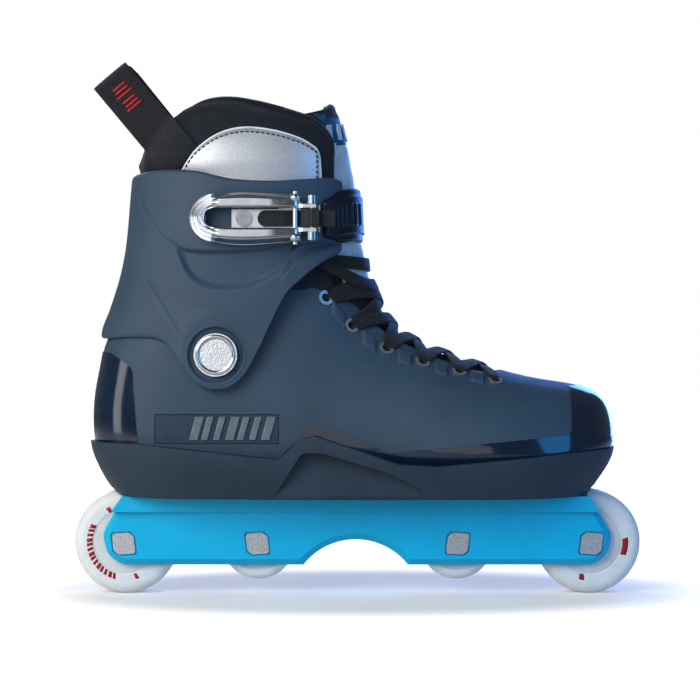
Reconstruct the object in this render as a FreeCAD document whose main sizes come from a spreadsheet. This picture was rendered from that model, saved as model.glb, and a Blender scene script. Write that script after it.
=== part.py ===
"""Aggressive inline skate for the right foot: boot, hinged cuff, ratchet buckle and four wheels.

+X points to the toe, +Z up, and -Y to the lateral (outer) side. The origin is on the ground, under
the middle of the wheelbase. All lengths are millimetres.
"""
import FreeCAD, Part
import math
import os
import Sketcher

V = FreeCAD.Vector
TURN = FreeCAD.Rotation

doc = FreeCAD.newDocument("inline_skate")
sheet = doc.addObject("Spreadsheet::Sheet", "Dims")

DIMENSIONS = [
    ("wheel_radius", 28.5), ("small_wheel_radius", 20.5), ("wheel_width", 24.0),
    ("tread_round", 6.3), ("small_tread_round", 4.5),
    ("outer_axle_place", 127.5), ("inner_axle_place", 54.6),
    ("hub_radius", 16.5), ("small_hub_radius", 13.6),
    ("bearing_bore", 4.0), ("bearing_radius", 11.0), ("bearing_width", 7.0),
    ("bearing_face", 11.9), ("inner_ring_radius", 6.0), ("outer_ring_bore", 9.3),
    ("ball_pitch_radius", 7.6), ("ball_radius", 1.85), ("race_radius", 2.1),
    ("axle_radius", 3.95), ("spacer_radius", 5.8), ("bolt_thread_radius", 3.0),
    ("frame_half_width", 19.5), ("frame_top_half_width", 23.5), ("frame_bottom", 16.6),
    ("frame_top", 54.5), ("frame_flange", 46.0), ("channel_half_width", 13.0),
    ("deck_underside", 51.0), ("wheel_clearance", 2.5), ("boss_radius", 6.4),
    ("arch_radius", 36.5), ("arch_centre_height", -6.1),
    ("frame_bolt_place", 83.5), ("frame_bolt_radius", 3.0),
    ("frame_corner_round", 10.0), ("frame_edge_chamfer", 3.4),
    ("shell_wall", 4.0),
    ("cuff_pivot_x", -75.4), ("cuff_pivot_height", 131.4), ("cuff_wall", 3.6),
    ("pivot_head_radius", 11.5), ("pivot_shoulder_radius", 8.0), ("pivot_recess_radius", 15.0),
    ("buckle_height", 203.6), ("buckle_screw_x", -60.3), ("lever_pin_x", -33.0), ("guide_pin_x", -24.0),
    ("buckle_base_face", -46.6), ("lever_face", -56.6), ("lever_pin_depth", -51.6),
    ("guide_pin_depth", -52.4), ("base_thickness", 1.2), ("pin_radius", 1.4),
    ("strap_bottom", 190.5), ("strap_top", 219.5), ("strap_thickness", 3.4),
    ("webbing_width", 23.0), ("webbing_thickness", 1.8),
    ("eyelet_radius", 4.1), ("eyelet_bore", 2.4), ("lace_width", 7.0), ("lace_thickness", 1.6),
]
for row, (alias, number) in enumerate(DIMENSIONS, start=1):
    sheet.set("A%d" % row, alias)
    sheet.set("B%d" % row, str(number))
    sheet.setAlias("B%d" % row, alias)
doc.recompute()


def size(expression):
    """The value of an expression in the sheet's names."""
    result = sheet.evalExpression(bound(expression))
    return float(getattr(result, "Value", result))


def bound(expression):
    """The same expression with every name pointing at the sheet."""
    text = str(expression)
    for alias, _ in sorted(DIMENSIONS, key=lambda entry: -len(entry[0])):
        text = text.replace(alias, "@" + str([name for name, _ in DIMENSIONS].index(alias)) + "@")
    for index, (alias, _) in enumerate(DIMENSIONS):
        text = text.replace("@%d@" % index, "Dims." + alias)
    return text


SUBPARTS = []


def keep(item, label):
    """Name a document object as one of the skate's sub-parts."""
    item.Label = label
    SUBPARTS.append(item)
    return item


def shaped(label, shape):
    """A sub-part whose curved shape has no sketch: a Part::Feature."""
    item = doc.addObject("Part::Feature", label)
    item.Shape = shape
    return keep(item, label)


def place(item, x, y, z, rotation=None):
    """Put an object at a place given by expressions."""
    item.Placement = FreeCAD.Placement(V(0, 0, 0), rotation or TURN())
    for axis, expression in zip("xyz", (x, y, z)):
        item.setExpression("Placement.Base." + axis, bound(expression))


# ---------------------------------------------------------------- sketches and features

def sketch_on(body, role, name):
    plane = next(item for item in body.Origin.OriginFeatures if item.Role == role)
    sketch = body.newObject("Sketcher::SketchObject", name)
    sketch.AttachmentSupport = [(plane, "")]
    sketch.MapMode = "FlatFace"
    return sketch


def outline(body, role, corners, name):
    """A closed polygon whose corners are bound to the sheet."""
    sketch = sketch_on(body, role, name)
    spots = [V(size(u), size(v), 0) for u, v in corners]
    count = len(spots)
    for index in range(count):
        sketch.addGeometry(Part.LineSegment(spots[index], spots[(index + 1) % count]), False)
    for index in range(count):
        sketch.addConstraint(Sketcher.Constraint("Coincident", index, 2, (index + 1) % count, 1))
    for index, (u, v) in enumerate(corners):
        for kind, expression, at in (("DistanceX", u, spots[index].x), ("DistanceY", v, spots[index].y)):
            number = sketch.addConstraint(Sketcher.Constraint(kind, -1, 1, index, 1, at))
            if not str(expression).replace(".", "").replace("-", "").isdigit():
                sketch.setExpression("Constraints[%d]" % number, bound(expression))
    return sketch


def circles(body, role, discs, name):
    """Circles given as (u, v, radius) expressions."""
    sketch = sketch_on(body, role, name)
    for index, (u, v, radius) in enumerate(discs):
        centre = V(size(u), size(v), 0)
        sketch.addGeometry(Part.Circle(centre, V(0, 0, 1), size(radius)), False)
        for kind, expression, at in (("DistanceX", u, centre.x), ("DistanceY", v, centre.y)):
            number = sketch.addConstraint(Sketcher.Constraint(kind, -1, 1, index, 3, at))
            if not str(expression).replace(".", "").replace("-", "").isdigit():
                sketch.setExpression("Constraints[%d]" % number, bound(expression))
        number = sketch.addConstraint(Sketcher.Constraint("Radius", index, size(radius)))
        sketch.setExpression("Constraints[%d]" % number, bound(radius))
    return sketch


def pad(body, sketch, length, name, reverse=False, midplane=False):
    feature = body.newObject("PartDesign::Pad", name)
    feature.Profile = sketch
    feature.Reversed = reverse
    feature.Midplane = midplane
    feature.setExpression("Length", bound(length))
    doc.recompute()
    return feature


def pocket_through(body, sketch, name):
    """Cut the sketch right through, both ways, and make sure that it cut something."""
    before = body.Shape.Volume
    feature = body.newObject("PartDesign::Pocket", name)
    feature.Profile = sketch
    feature.Midplane = True
    feature.Type = "ThroughAll"
    doc.recompute()
    if body.Shape.Volume > before - 0.01:
        raise RuntimeError(name + " cuts nothing")
    return feature


def turned(label, corners):
    """A body turned about Y: its corners are (radius, place along Y)."""
    body = doc.addObject("PartDesign::Body", label)
    sketch = outline(body, "XY_Plane", corners, label + "_section")
    feature = body.newObject("PartDesign::Revolution", label + "_turn")
    feature.Profile = sketch
    feature.ReferenceAxis = (sketch, ["V_Axis"])
    feature.Angle = 360.0
    doc.recompute()
    return body


def rounded(body, chosen, radius, name):
    """Fillet the body's edges that chosen(edge) picks."""
    base = body.Tip
    edges = ["Edge%d" % number for number, edge in enumerate(base.Shape.Edges, start=1) if chosen(edge)]
    feature = body.newObject("PartDesign::Fillet", name)
    feature.Base = (base, edges)
    feature.setExpression("Radius", bound(radius))
    doc.recompute()
    return feature


def is_ring(radius):
    """Picks circular edges of one radius."""
    def chosen(edge):
        return isinstance(edge.Curve, Part.Circle) and abs(edge.Curve.Radius - radius) < 0.01
    return chosen


def runs_across(edge):
    """Is it a straight edge along Y?"""
    first, last = edge.Vertexes[0].Point, edge.Vertexes[-1].Point
    return abs(first.x - last.x) < 0.01 and abs(first.z - last.z) < 0.01 and edge.Length > 1


def on_side_face(half_width):
    """Picks the edges that lie in the planes y = half_width and y = -half_width."""
    def chosen(edge):
        return all(abs(abs(vertex.Y) - half_width) < 0.01 for vertex in edge.Vertexes) and not runs_across(edge)
    return chosen


# ---------------------------------------------------------------- curves of the boot

def along(points, at):
    """Smooth line through (position, value) points, flat beyond its ends."""
    if at <= points[0][0]:
        return points[0][1]
    if at >= points[-1][0]:
        return points[-1][1]
    for index in range(len(points) - 1):
        if at <= points[index + 1][0]:
            break
    slopes = []
    for here in (index, index + 1):
        low, high = max(here - 1, 0), min(here + 1, len(points) - 1)
        slopes.append((points[high][1] - points[low][1]) / (points[high][0] - points[low][0]))
    (x0, y0), (x1, y1) = points[index], points[index + 1]
    span = x1 - x0
    t = (at - x0) / span
    return (y0 * (1 + 2 * t) * (1 - t) ** 2 + slopes[0] * span * t * (1 - t) ** 2
            + y1 * t * t * (3 - 2 * t) + slopes[1] * span * t * t * (t - 1))


HEEL_LINE = [(62, -131), (74, -141), (86, -144.9), (95, -145.6), (108, -145), (126, -141.9),
             (138, -139.2), (147, -135.6), (180, -127), (230, -123)]
TOP_LINE = [(-150, 300), (-60, 262), (-30, 222), (-17.3, 198), (-3.3, 173), (4.8, 163), (15.6, 152.5),
            (35, 140), (55.5, 131), (80, 123), (102, 118), (118, 115.5), (129, 112), (134.5, 108),
            (137.5, 104), (139.3, 99), (140.4, 94), (141.4, 88)]
SIDE_LINE = [(-150, 39), (-100, 40.5), (-40, 41.5), (-5, 43), (30, 46.5), (60, 50), (95, 50), (141, 47)]
BASE_TAPER = [(62, 0.86), (74, 0.965), (84, 1.0)]
TOE_TIP = 141.4
CROWN_BASE = 66.0
HEEL_ROUND = 44.0
TOE_ROUND = 66.0


def toe_tip(height):
    """How far forward the boot reaches at a height."""
    if height <= TOP_LINE[-1][1]:
        return along([(62, 124), (68, 131), (76, 137), (88, TOE_TIP)], height)
    low, high = -80.0, TOE_TIP
    for _ in range(40):
        middle = (low + high) / 2
        if along(TOP_LINE, middle) > height:
            low = middle
        else:
            high = middle
    return low


def boot_half_width(x, height):
    """Half the boot's width at a place on its length and a height."""
    heel, tip = along(HEEL_LINE, height), toe_tip(height)
    from_heel = min(max((x - heel) / HEEL_ROUND, 0), 1)
    nose = tip if height < TOP_LINE[-1][1] else TOE_TIP
    from_toe = min(max((nose - x) / TOE_ROUND, 0), 1)
    heel_factor = (1 - (1 - from_heel) ** 2.2) ** (1 / 2.2)
    toe_factor = (1 - (1 - from_toe) ** 2.4) ** (1 / 2.4)
    rise = min(max((height - CROWN_BASE) / (along(TOP_LINE, x) - CROWN_BASE), 0), 1)
    crown = math.sqrt(1 - rise ** 2.2)
    return along(SIDE_LINE, x) * heel_factor * toe_factor * crown * along(BASE_TAPER, height)


def closed_curve(heel, tip, half_width, height, half_count=15):
    """A closed periodic curve at a height, symmetric about XZ."""
    upper = []
    for index in range(1, half_count):
        share = (1 - math.cos(math.pi * index / half_count)) / 2
        x = heel + (tip - heel) * share
        upper.append((x, max(half_width(x), 0.4)))
    points = [V(heel, 0, height)] + [V(x, -y, height) for x, y in upper] + [V(tip, 0, height)]
    points += [V(x, y, height) for x, y in reversed(upper)]
    curve = Part.BSplineCurve()
    curve.interpolate(points, PeriodicFlag=True)
    return Part.Wire([curve.toShape()])


def boot_curve(height, grow):
    """The boot's outline at a height, moved outwards by grow."""
    drop = grow * min(max((height - 88) / 16, 0), 1)
    level = height - drop
    heel, tip = along(HEEL_LINE, level), toe_tip(level)
    widest = 50.0

    def half_width(x):
        inner = heel + (x - heel + grow) * (tip - heel) / (tip - heel + 2 * grow)
        return boot_half_width(inner, level) * (widest + grow) / widest
    return closed_curve(heel - grow, tip + grow, half_width, height)


def loft(wires):
    return Part.makeLoft(wires, True, False)


BOOT_LEVELS = [62, 74, 86, 95, 102, 108, 112, 115.5, 118, 122, 128, 136, 146, 158, 172, 184]


def boot_solid(grow, lowest=62.0, highest=184.0):
    inside = [level for level in BOOT_LEVELS if lowest + 3 < level < highest - 3]
    return loft([boot_curve(level, grow) for level in [lowest] + inside + [highest]])


CUFF_REAR = [(100, -141.6), (143, -141.6), (157, -136.8), (175, -131.2), (193, -127.8), (230, -124.4),
             (250, -121), (275, -106)]
CUFF_FRONT = [(100, 40), (131, 38), (150, 30), (175, 13), (200, 0.4), (230, -1.5), (250, -7), (275, -18)]
CUFF_SIDE = [(100, 47.4), (131, 47.0), (175, 46.6), (230, 46.0), (250, 43), (275, 34)]
CUFF_POWER = 2.4


def cuff_half_width(x, height, grow=0.0):
    rear = along(CUFF_REAR, height) - grow
    front = along(CUFF_FRONT, height) + grow
    share = min(abs(x - (rear + front) / 2) / ((front - rear) / 2), 1)
    return (along(CUFF_SIDE, height) + grow) * (1 - share ** CUFF_POWER) ** (1 / CUFF_POWER)


def cuff_curve(height, grow):
    rear = along(CUFF_REAR, height) - grow
    front = along(CUFF_FRONT, height) + grow
    return closed_curve(rear, front, lambda x: cuff_half_width(x, height, grow), height)


CUFF_LEVELS = [100, 116, 131, 143, 157, 175, 193, 212, 232]


def cuff_solid(grow, levels=CUFF_LEVELS):
    return loft([cuff_curve(level, grow) for level in levels])


def side_prism(points, y_low=-80.0, y_high=80.0):
    """A prism along Y over a polygon or curve in the XZ plane.

    A point may be (x, z), or (x, z, x2, z2): an arc through the first to the second.
    """
    edges, here = [], V(points[0][0], y_low, points[0][1])
    start = here
    for point in points[1:]:
        end = V(point[-2], y_low, point[-1])
        if len(point) == 4:
            edges.append(Part.Arc(here, V(point[0], y_low, point[1]), end).toShape())
        else:
            edges.append(Part.LineSegment(here, end).toShape())
        here = end
    if here.distanceToPoint(start) > 0.01:
        edges.append(Part.LineSegment(here, start).toShape())
    return Part.Face(Part.Wire(edges)).extrude(V(0, y_high - y_low, 0))


def block(x0, x1, y0, y1, z0, z1):
    return Part.makeBox(x1 - x0, y1 - y0, z1 - z0, V(x0, y0, z0))


def rod(radius, start, end):
    start, end = V(*start), V(*end)
    return Part.makeCylinder(radius, (end - start).Length, start, end - start)


# ---------------------------------------------------------------- boot shell

PIVOT = V(size("cuff_pivot_x"), 0, size("cuff_pivot_height"))
EYELETS = [(-17.3, 30.0), (-3.3, 29.2), (15.6, 28.2), (35.1, 27.1), (54.9, 26.0), (74.5, 25.0)]


def height_on_boot(x, y, grow=0.0):
    """The height at which the boot's side is y from the middle."""
    low, high = 90.0, along(TOP_LINE, x)
    for _ in range(40):
        middle = (low + high) / 2
        if boot_half_width(x, middle) > y:
            low = middle
        else:
            high = middle
    return low + grow


def normal_on_boot(x, y, side):
    """Outward normal at a point of the boot's side; side is -1 (lateral) or 1."""
    step = 0.5
    height = height_on_boot(x, y)
    slope_x = (boot_half_width(x + step, height) - boot_half_width(x - step, height)) / (2 * step)
    slope_z = (boot_half_width(x, height + step) - boot_half_width(x, height - step)) / (2 * step)
    return V(-slope_x, side, -slope_z).normalize()


SHELL_TOP = [(-150, 146), (-118, 146), (-96, 160), (-60, 168), (-6, 168), (160, 168), (160, 40), (-150, 40)]
THROAT_HALF_WIDTH = 21.0
THROAT_END = 80.0
BADGE = (-108.5, -42.1, 83.8, 99.7)
HEEL_PANEL = [(-160, 84), (-117.8, 84), (-120.9, 118.4), (-121.8, 123.6, -125, 127), (-134, 132.4), (-160, 135)]
SOLE_LIP = [(-42, 76), (-29, 87.2), (-22.6, 88.6), (22.2, 73.4), (42.7, 72.4), (112, 79), (141, 80.8), (160, 81.2)]
TOE_PANEL = SOLE_LIP + [(160, 114.5), (116.5, 114.5), (114.6, 92.5), (113.6, 89.6, 110.5, 88.5), (18, 79.4),
                        (14.8, 80.2), (-23.5, 94.4), (-26.5, 93.6)]
TOE_LEDGE = SOLE_LIP[4:] + [(160, 88.4), (141, 86.7), (40.6, 76.7)]

outer_boot = boot_solid(0.0)
boot_inside = boot_solid(-size("shell_wall"), 66.0, 184.0)
skin = boot_solid(0.35).cut(boot_solid(-1.6))


def eyelet_axis(x, y, side):
    spot = V(x, side * y, height_on_boot(x, y))
    return spot, normal_on_boot(x, y, side)


def throat(grow=0.0):
    """The lacing gap: a slot over the instep with a round front end."""
    half = THROAT_HALF_WIDTH + grow
    slot = block(-46, THROAT_END - half, -half, half, 100, 230)
    return slot.fuse(Part.makeCylinder(half, 130, V(THROAT_END - half, 0, 100))).removeSplitter()


def make_shell():
    shell = outer_boot.cut(boot_inside).common(side_prism(SHELL_TOP))
    shell = shell.cut(throat())
    for panel in (HEEL_PANEL, TOE_PANEL):
        shell = shell.cut(skin.common(side_prism(panel)))
    low, high, bottom, top = BADGE
    shell = shell.cut(skin.common(block(low, high, -60, 60, bottom, top)))
    holes = []
    for x, y in EYELETS:
        for side in (-1, 1):
            spot, normal = eyelet_axis(x, y, side)
            holes.append(Part.makeCylinder(3.0, 12, spot - normal * 6, normal))
    for side in (-1, 1):
        holes.append(rod(5.0, (PIVOT.x, side * 30, PIVOT.z), (PIVOT.x, side * 60, PIVOT.z)))
    for side in (-1, 1):
        bolt_x = side * size("frame_bolt_place")
        holes.append(rod(size("frame_bolt_radius") + 0.2, (bolt_x, 0, 50), (bolt_x, 0, 70)))
    return shell.cut(holes)


shell = shaped("shell", make_shell())
shaped("heel_guard", skin.common(side_prism(HEEL_PANEL)))
toe_ledge = boot_solid(1.0).cut(boot_solid(0.1)).common(side_prism(TOE_LEDGE))
shaped("toe_guard", skin.common(side_prism(TOE_PANEL)).fuse(toe_ledge))
badge_gap = 0.4
shaped("side_badges", skin.common(block(BADGE[0] + badge_gap, BADGE[1] - badge_gap, -60, 60,
                                        BADGE[2] + badge_gap, BADGE[3] - badge_gap)))


def make_eyelets():
    rings = []
    bore, flange = size("eyelet_bore"), size("eyelet_radius")
    for x, y in EYELETS:
        for side in (-1, 1):
            spot, normal = eyelet_axis(x, y, side)
            head = Part.makeCylinder(flange, 1.0, spot - normal * 0.1, normal)
            barrel = Part.makeCylinder(2.95, 4.6, spot - normal * 4.4, normal)
            rings.append(head.fuse(barrel).cut(Part.makeCylinder(bore, 12, spot - normal * 6, normal)))
    return Part.makeCompound(rings)


shaped("eyelets", make_eyelets())

# ---------------------------------------------------------------- soul plate

SOLE_SIDE = [(-150, 46), (-100, 50.5), (-40, 55.5), (40, 57), (85, 57), (141, 50)]
SOLE_HEEL = [(54.5, -131.6), (60, -137), (68, -141.6), (77, -145.6), (84, -147), (100, -147)]
SOLE_TOE = [(54.5, 128), (59.5, 131), (68, 136.8), (73, 139.6), (79, 141.8), (100, 141.8)]
SOLE_DRAFT = [(54.5, 0.84), (62, 0.91), (73, 0.98), (80, 1.0), (100, 1.0)]


def sole_half_width(x, height):
    heel, tip = along(SOLE_HEEL, height), along(SOLE_TOE, height)
    from_heel = min(max((x - heel) / 46, 0), 1)
    from_toe = min(max((tip - x) / 70, 0), 1)
    ends = (1 - (1 - from_heel) ** 2.3) ** (1 / 2.3) * (1 - (1 - from_toe) ** 2.3) ** (1 / 2.3)
    return along(SOLE_SIDE, x) * along(SOLE_DRAFT, height) * ends


def sole_curve(height):
    return closed_curve(along(SOLE_HEEL, height), along(SOLE_TOE, height),
                        lambda x: sole_half_width(x, height), height)


SOLE_PROFILE = [(-160, 84.2), (-117, 84)] + SOLE_LIP + [(160, 50), (-160, 50)]
SIDE_RECESS = [(-44.5, 55.8), (-32, 76), (-29, 79.2, -24, 79.8), (-17, 79.3), (11.7, 70.6), (24.8, 65.2),
               (33, 61), (35.8, 55.8)]


def make_soul_plate():
    body = loft([sole_curve(level) for level in (54.5, 59, 66, 73, 80, 96)])
    body = body.common(side_prism(SOLE_PROFILE)).cut(outer_boot)
    for side in (-1, 1):
        low, high = sorted((side * 47.5, side * 70))
        body = body.cut(side_prism(SIDE_RECESS, low, high))
        axle_x = side * size("outer_axle_place")
        well = size("wheel_radius + wheel_clearance")
        half = size("channel_half_width") + 2
        body = body.cut(rod(well, (axle_x, -half, well - 2.5), (axle_x, half, well - 2.5)))
        bolt_x = side * size("frame_bolt_place")
        body = body.cut(rod(size("frame_bolt_radius") + 0.2, (bolt_x, 0, 50), (bolt_x, 0, 70)))
    for x, y in SOUL_SCREWS:
        body = body.cut(rod(2.6, (x, y, 50), (x, y, 63)).fuse(rod(4.4, (x, y, 50), (x, y, 57))))
    return body


SOUL_SCREWS = [(-62, -31), (-62, 31), (66, -33), (66, 33)]
shaped("soul_plate", make_soul_plate())


def make_soul_screws():
    screws = []
    for x, y in SOUL_SCREWS:
        head, shank = rod(4.2, (x, y, 55.2), (x, y, 57)), rod(2.5, (x, y, 57), (x, y, 62))
        screws.append(head.fuse(shank).cut(rod(1.6, (x, y, 55), (x, y, 56.4))))
    return Part.makeCompound(screws)


shaped("soul_screws", make_soul_screws())

# ---------------------------------------------------------------- liner, tongue and insoles

LINER_SPLIT = [(-160, 148), (-118, 148), (-96, 162), (-75, 168.5), (-60, 172.5), (-4, 190), (60, 190),
               (60, 300), (-160, 300)]
LINER_ROOT = [(-160, 144), (-118, 144), (-96, 157), (-60, 165), (160, 165), (160, 60), (-160, 60)]
COLLAR = [(-160, 236), (-121, 240), (-112, 258), (-99, 268.5, -84, 273.5), (-72, 275), (-50, 271.5),
          (-30, 267), (20, 262), (60, 100), (-160, 100)]
TONGUE_GAP = 19.0
LINER_LEVELS = [124, 143, 157, 175, 193, 212, 230, 244, 258, 276]


def lower_liner_full():
    outer = boot_solid(-4.5, 72.0, 172.0)
    hollow = boot_solid(-9.5, 77.0, 184.0)
    return outer.cut(hollow)


def upper_liner_full():
    outer = cuff_solid(-8.6, LINER_LEVELS)
    hollow = cuff_solid(-13.6, [100] + LINER_LEVELS + [290])
    return outer.cut(hollow)


def instep_band(low_x, low_z, high_z):
    return block(low_x, 150, -TONGUE_GAP, TONGUE_GAP, low_z, high_z)


lower_full = lower_liner_full()
upper_full = upper_liner_full()
tongue_band = instep_band(-40, 96, 172)
bolt_ends = [rod(6.5, (PIVOT.x, side * 30, PIVOT.z), (PIVOT.x, side * 50, PIVOT.z)) for side in (-1, 1)]
lower_liner = lower_full.common(side_prism(LINER_ROOT)).cut(
    [tongue_band.common(block(-40, THROAT_END - 2, -60, 60, 96, 172)), shell.Shape] + bolt_ends)
shaped("liner_lower", max(lower_liner.Solids, key=lambda solid: solid.Volume))
shaped("tongue_lower", lower_full.common(block(-40, THROAT_END - 2.5, -TONGUE_GAP + 0.3,
                                               TONGUE_GAP - 0.3, 100, 171)))
upper_liner = upper_full.common(side_prism(LINER_SPLIT)).common(side_prism(COLLAR))
tongue_slot = block(-42, 40, -TONGUE_GAP, TONGUE_GAP, 100, 300)
shaped("liner_upper", upper_liner.cut(tongue_slot))
shaped("tongue_upper", cuff_solid(-3.6, [188, 193, 212, 230, 244, 258, 274]).cut(
    cuff_solid(-10.0, [170, 193, 212, 230, 244, 258, 290])).common(
    block(-40, 40, -TONGUE_GAP + 0.4, TONGUE_GAP - 0.4, 188, 272)))
shaped("shock_absorber", boot_solid(-5.4, 66.2, 71.8))
shaped("footbed", boot_solid(-9.9, 77.2, 81.0))


def make_patches():
    window = side_prism([(-106, 232), (-100, 244), (-88, 252.5, -72, 256), (-46, 253), (-28, 246, -22, 236),
                         (-20, 226), (-106, 226)])
    band = cuff_solid(-7.8, LINER_LEVELS).cut(cuff_solid(-8.5, [120] + LINER_LEVELS + [280]))
    band = band.common(window)
    return Part.makeCompound([band.common(block(-150, 20, -70, -14, 200, 280)),
                              band.common(block(-150, 20, 14, 70, 200, 280))])


shaped("ankle_patches", make_patches())


def make_pull_strap():
    """Webbing folded into a loop: both ends on the liner's heel, the fold up and behind it."""
    rise = V(-0.645, 0, 0.764)
    across = V(0.764, 0, 0.645)
    foot = V(-103.5, 0, 246)
    length, spread, fold = 53.0, 27.0, 6.5
    thick, wide = size("webbing_thickness"), size("webbing_width")

    def at(forward, y):
        return foot + rise * forward + V(0, y, 0)

    def loop(extra):
        tip = Part.Arc(at(length - fold, -fold - extra), at(length + extra, 0), at(length - fold, fold + extra))
        sides = [Part.LineSegment(at(0, side * (spread + extra)), at(length - fold, side * (fold + extra)))
                 for side in (-1, 1)]
        return [sides[0].toShape(), tip.toShape(), sides[1].toShape()]
    outer_edges, inner_edges = loop(0.0), loop(-thick)
    ends = [Part.LineSegment(at(0, spread), at(0, spread - thick)).toShape(),
            Part.LineSegment(at(0, -spread + thick), at(0, -spread)).toShape()]
    wire = Part.Wire(Part.__sortEdges__(outer_edges + inner_edges + ends))
    band = Part.Face(wire).extrude(across * wide)
    band.translate(across * (-wide / 2))
    return band


shaped("pull_strap", make_pull_strap())

# ---------------------------------------------------------------- laces

def flat_bar(points, wide, thick):
    """A flat strip through points; its width runs along the boot."""
    sections = []
    for index, point in enumerate(points):
        before, after = points[max(index - 1, 0)], points[min(index + 1, len(points) - 1)]
        heading = (after - before).normalize()
        width_way = V(1, 0, -0.35)
        width_way = (width_way - heading * width_way.dot(heading)).normalize()
        thick_way = heading.cross(width_way)
        corners = [point + width_way * (a * wide / 2) + thick_way * (b * thick / 2)
                   for a, b in ((-1, -1), (1, -1), (1, 1), (-1, 1))]
        sections.append(Part.makePolygon(corners + corners[:1]))
    return Part.makeLoft(sections, True, True)


def lace_crossing(first, second, side, lift):
    """One run of lace from an eyelet over the tongue to the next eyelet on the other side."""
    (x0, y0), (x1, y1) = first, second
    start, start_normal = eyelet_axis(x0, y0, side)
    end, end_normal = eyelet_axis(x1, y1, -side)
    middle_x = (x0 + x1) / 2
    crest = along(TOP_LINE, middle_x)
    points = [start + start_normal * 1.9]
    for share, height in ((0.3, 0.78), (0.5, 1.0), (0.7, 0.78)):
        x = x0 + (x1 - x0) * share
        y = side * (y0 + (-y1 - y0) * share)
        base_z = start.z + (end.z - start.z) * share
        points.append(V(x, y, base_z + (crest + lift - (start.z + end.z) / 2) * height))
    points.append(end + end_normal * 1.9)
    return flat_bar(points, size("lace_width"), size("lace_thickness"))


def make_laces():
    runs = []
    for index in range(len(EYELETS) - 1):
        for side, lift in ((-1, 1.6), (1, 3.6)):
            runs.append(lace_crossing(EYELETS[index + 1], EYELETS[index], side, lift))
    return Part.makeCompound(runs)


shaped("laces", make_laces())


def make_lace_top():
    """The last lace crossing, whose ends run back under the cuff."""
    half = [(-22, 31, 181), (-12, 26.5, 184.5), (-3, 15.5, 185.5)]
    points = [V(x, -y, z) for x, y, z in half] + [V(2.6, 0, 185.8)] + [V(x, y, z) for x, y, z in reversed(half)]
    return flat_bar(points, size("lace_width"), size("lace_thickness"))


shaped("lace_top", make_lace_top())

# ---------------------------------------------------------------- cuff

CUFF_PROFILE = [(-124.5, 229.5), (-104, 231, -86, 229.4), (-66, 224.8), (-46, 224.2), (-11.5, 227.2),
                (-8.4, 224), (-7.2, 186.5), (-20.7, 179), (-33, 169), (-39.7, 161), (-54.2, 131.1),
                (-59, 122), (-75.4, 112.6, -91.5, 122), (-100.7, 134.3), (-104.5, 139, -110.4, 140.3),
                (-146, 140.3), (-146, 160), (-130, 229.5)]


def make_cuff():
    wall = size("cuff_wall")
    ring = cuff_solid(0.0).cut(cuff_solid(-wall, [90] + CUFF_LEVELS[1:] + [240]))
    ring = ring.common(side_prism(CUFF_PROFILE))
    shell_envelope = boot_solid(0.7).common(side_prism(SHELL_TOP)).common(block(-160, 40, -60, 60, 90, 170))
    for flex in (0, 3.5, 7, 10.5):
        swept = shell_envelope.copy()
        swept.rotate(PIVOT, V(0, 1, 0), -flex)
        ring = ring.cut(swept)
    ring = max(ring.Solids, key=lambda solid: solid.Volume)
    screw_x = size("buckle_screw_x")
    ring = ring.cut(rod(2.6, (screw_x, -50, size("buckle_height")), (screw_x, -38, size("buckle_height"))))
    for side in (-1, 1):
        outside = (PIVOT.x, side * 60, PIVOT.z)
        hole = rod(size("pivot_shoulder_radius") + 0.05, (PIVOT.x, side * 35, PIVOT.z), outside)
        seat = rod(size("pivot_recess_radius"), (PIVOT.x, side * 45.0, PIVOT.z), outside)
        ring = ring.cut(hole).cut(seat)
    return ring


shaped("cuff", make_cuff())


def pivot_bolt(side):
    """Shouldered bolt through cuff and shell with a large flat head."""
    def at(distance):
        return (PIVOT.x, side * distance, PIVOT.z)
    bolt = rod(size("pivot_head_radius"), at(45.3), at(47.6))
    bolt = bolt.fuse(rod(size("pivot_shoulder_radius"), at(40.6), at(45.3)))
    bolt = bolt.fuse(rod(4.95, at(33.2), at(40.6)))
    return bolt.cut(rod(size("pivot_head_radius") - 2.6, at(47.0), at(48)))


shaped("cuff_bolt_lateral", pivot_bolt(-1))
shaped("cuff_bolt_medial", pivot_bolt(1))

# ---------------------------------------------------------------- buckle and strap on the cuff

BUCKLE_Z = size("buckle_height")


def strap_ring(inner, outer, low, high):
    levels = [low, (low + high) / 2, high]
    return cuff_solid(outer, levels).cut(cuff_solid(inner, [low - 3] + levels[1:2] + [high + 3]))


def make_shin_strap():
    low, high = size("strap_bottom"), size("strap_top")
    ring = strap_ring(0.4, 0.4 + size("strap_thickness"), low, high)
    shape = side_prism([(-60, BUCKLE_Z - 9), (-20, low), (30, low), (30, high), (-10, high), (-20, high - 3),
                        (-60, BUCKLE_Z + 9)])
    lateral_end = block(-90, -19.0, -80, 0, 150, 260)
    return ring.common(shape).cut(lateral_end)


shaped("shin_strap", make_shin_strap())


def make_strap_rivets():
    rivets = []
    for x in (-54, -43):
        face = cuff_half_width(x, BUCKLE_Z)
        rivets.append(rod(3.4, (x, face + 3.8, BUCKLE_Z), (x, face + 5.2, BUCKLE_Z)))
    return Part.makeCompound(rivets)


shaped("strap_rivets", make_strap_rivets())


def buckle_body(label, corners, half_height):
    """A piece of constant section across the buckle: corners are (x, y) expressions."""
    body = doc.addObject("PartDesign::Body", label)
    sketch = outline(body, "XY_Plane", corners, label + "_outline")
    pad(body, sketch, "2 * %s" % half_height, label + "_pad", midplane=True)
    place(body, "0", "0", "buckle_height")
    return body


def pin_bore(x, y, play):
    return rod(size("pin_radius") + play, (x, y, BUCKLE_Z - 20), (x, y, BUCKLE_Z + 20))


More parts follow.
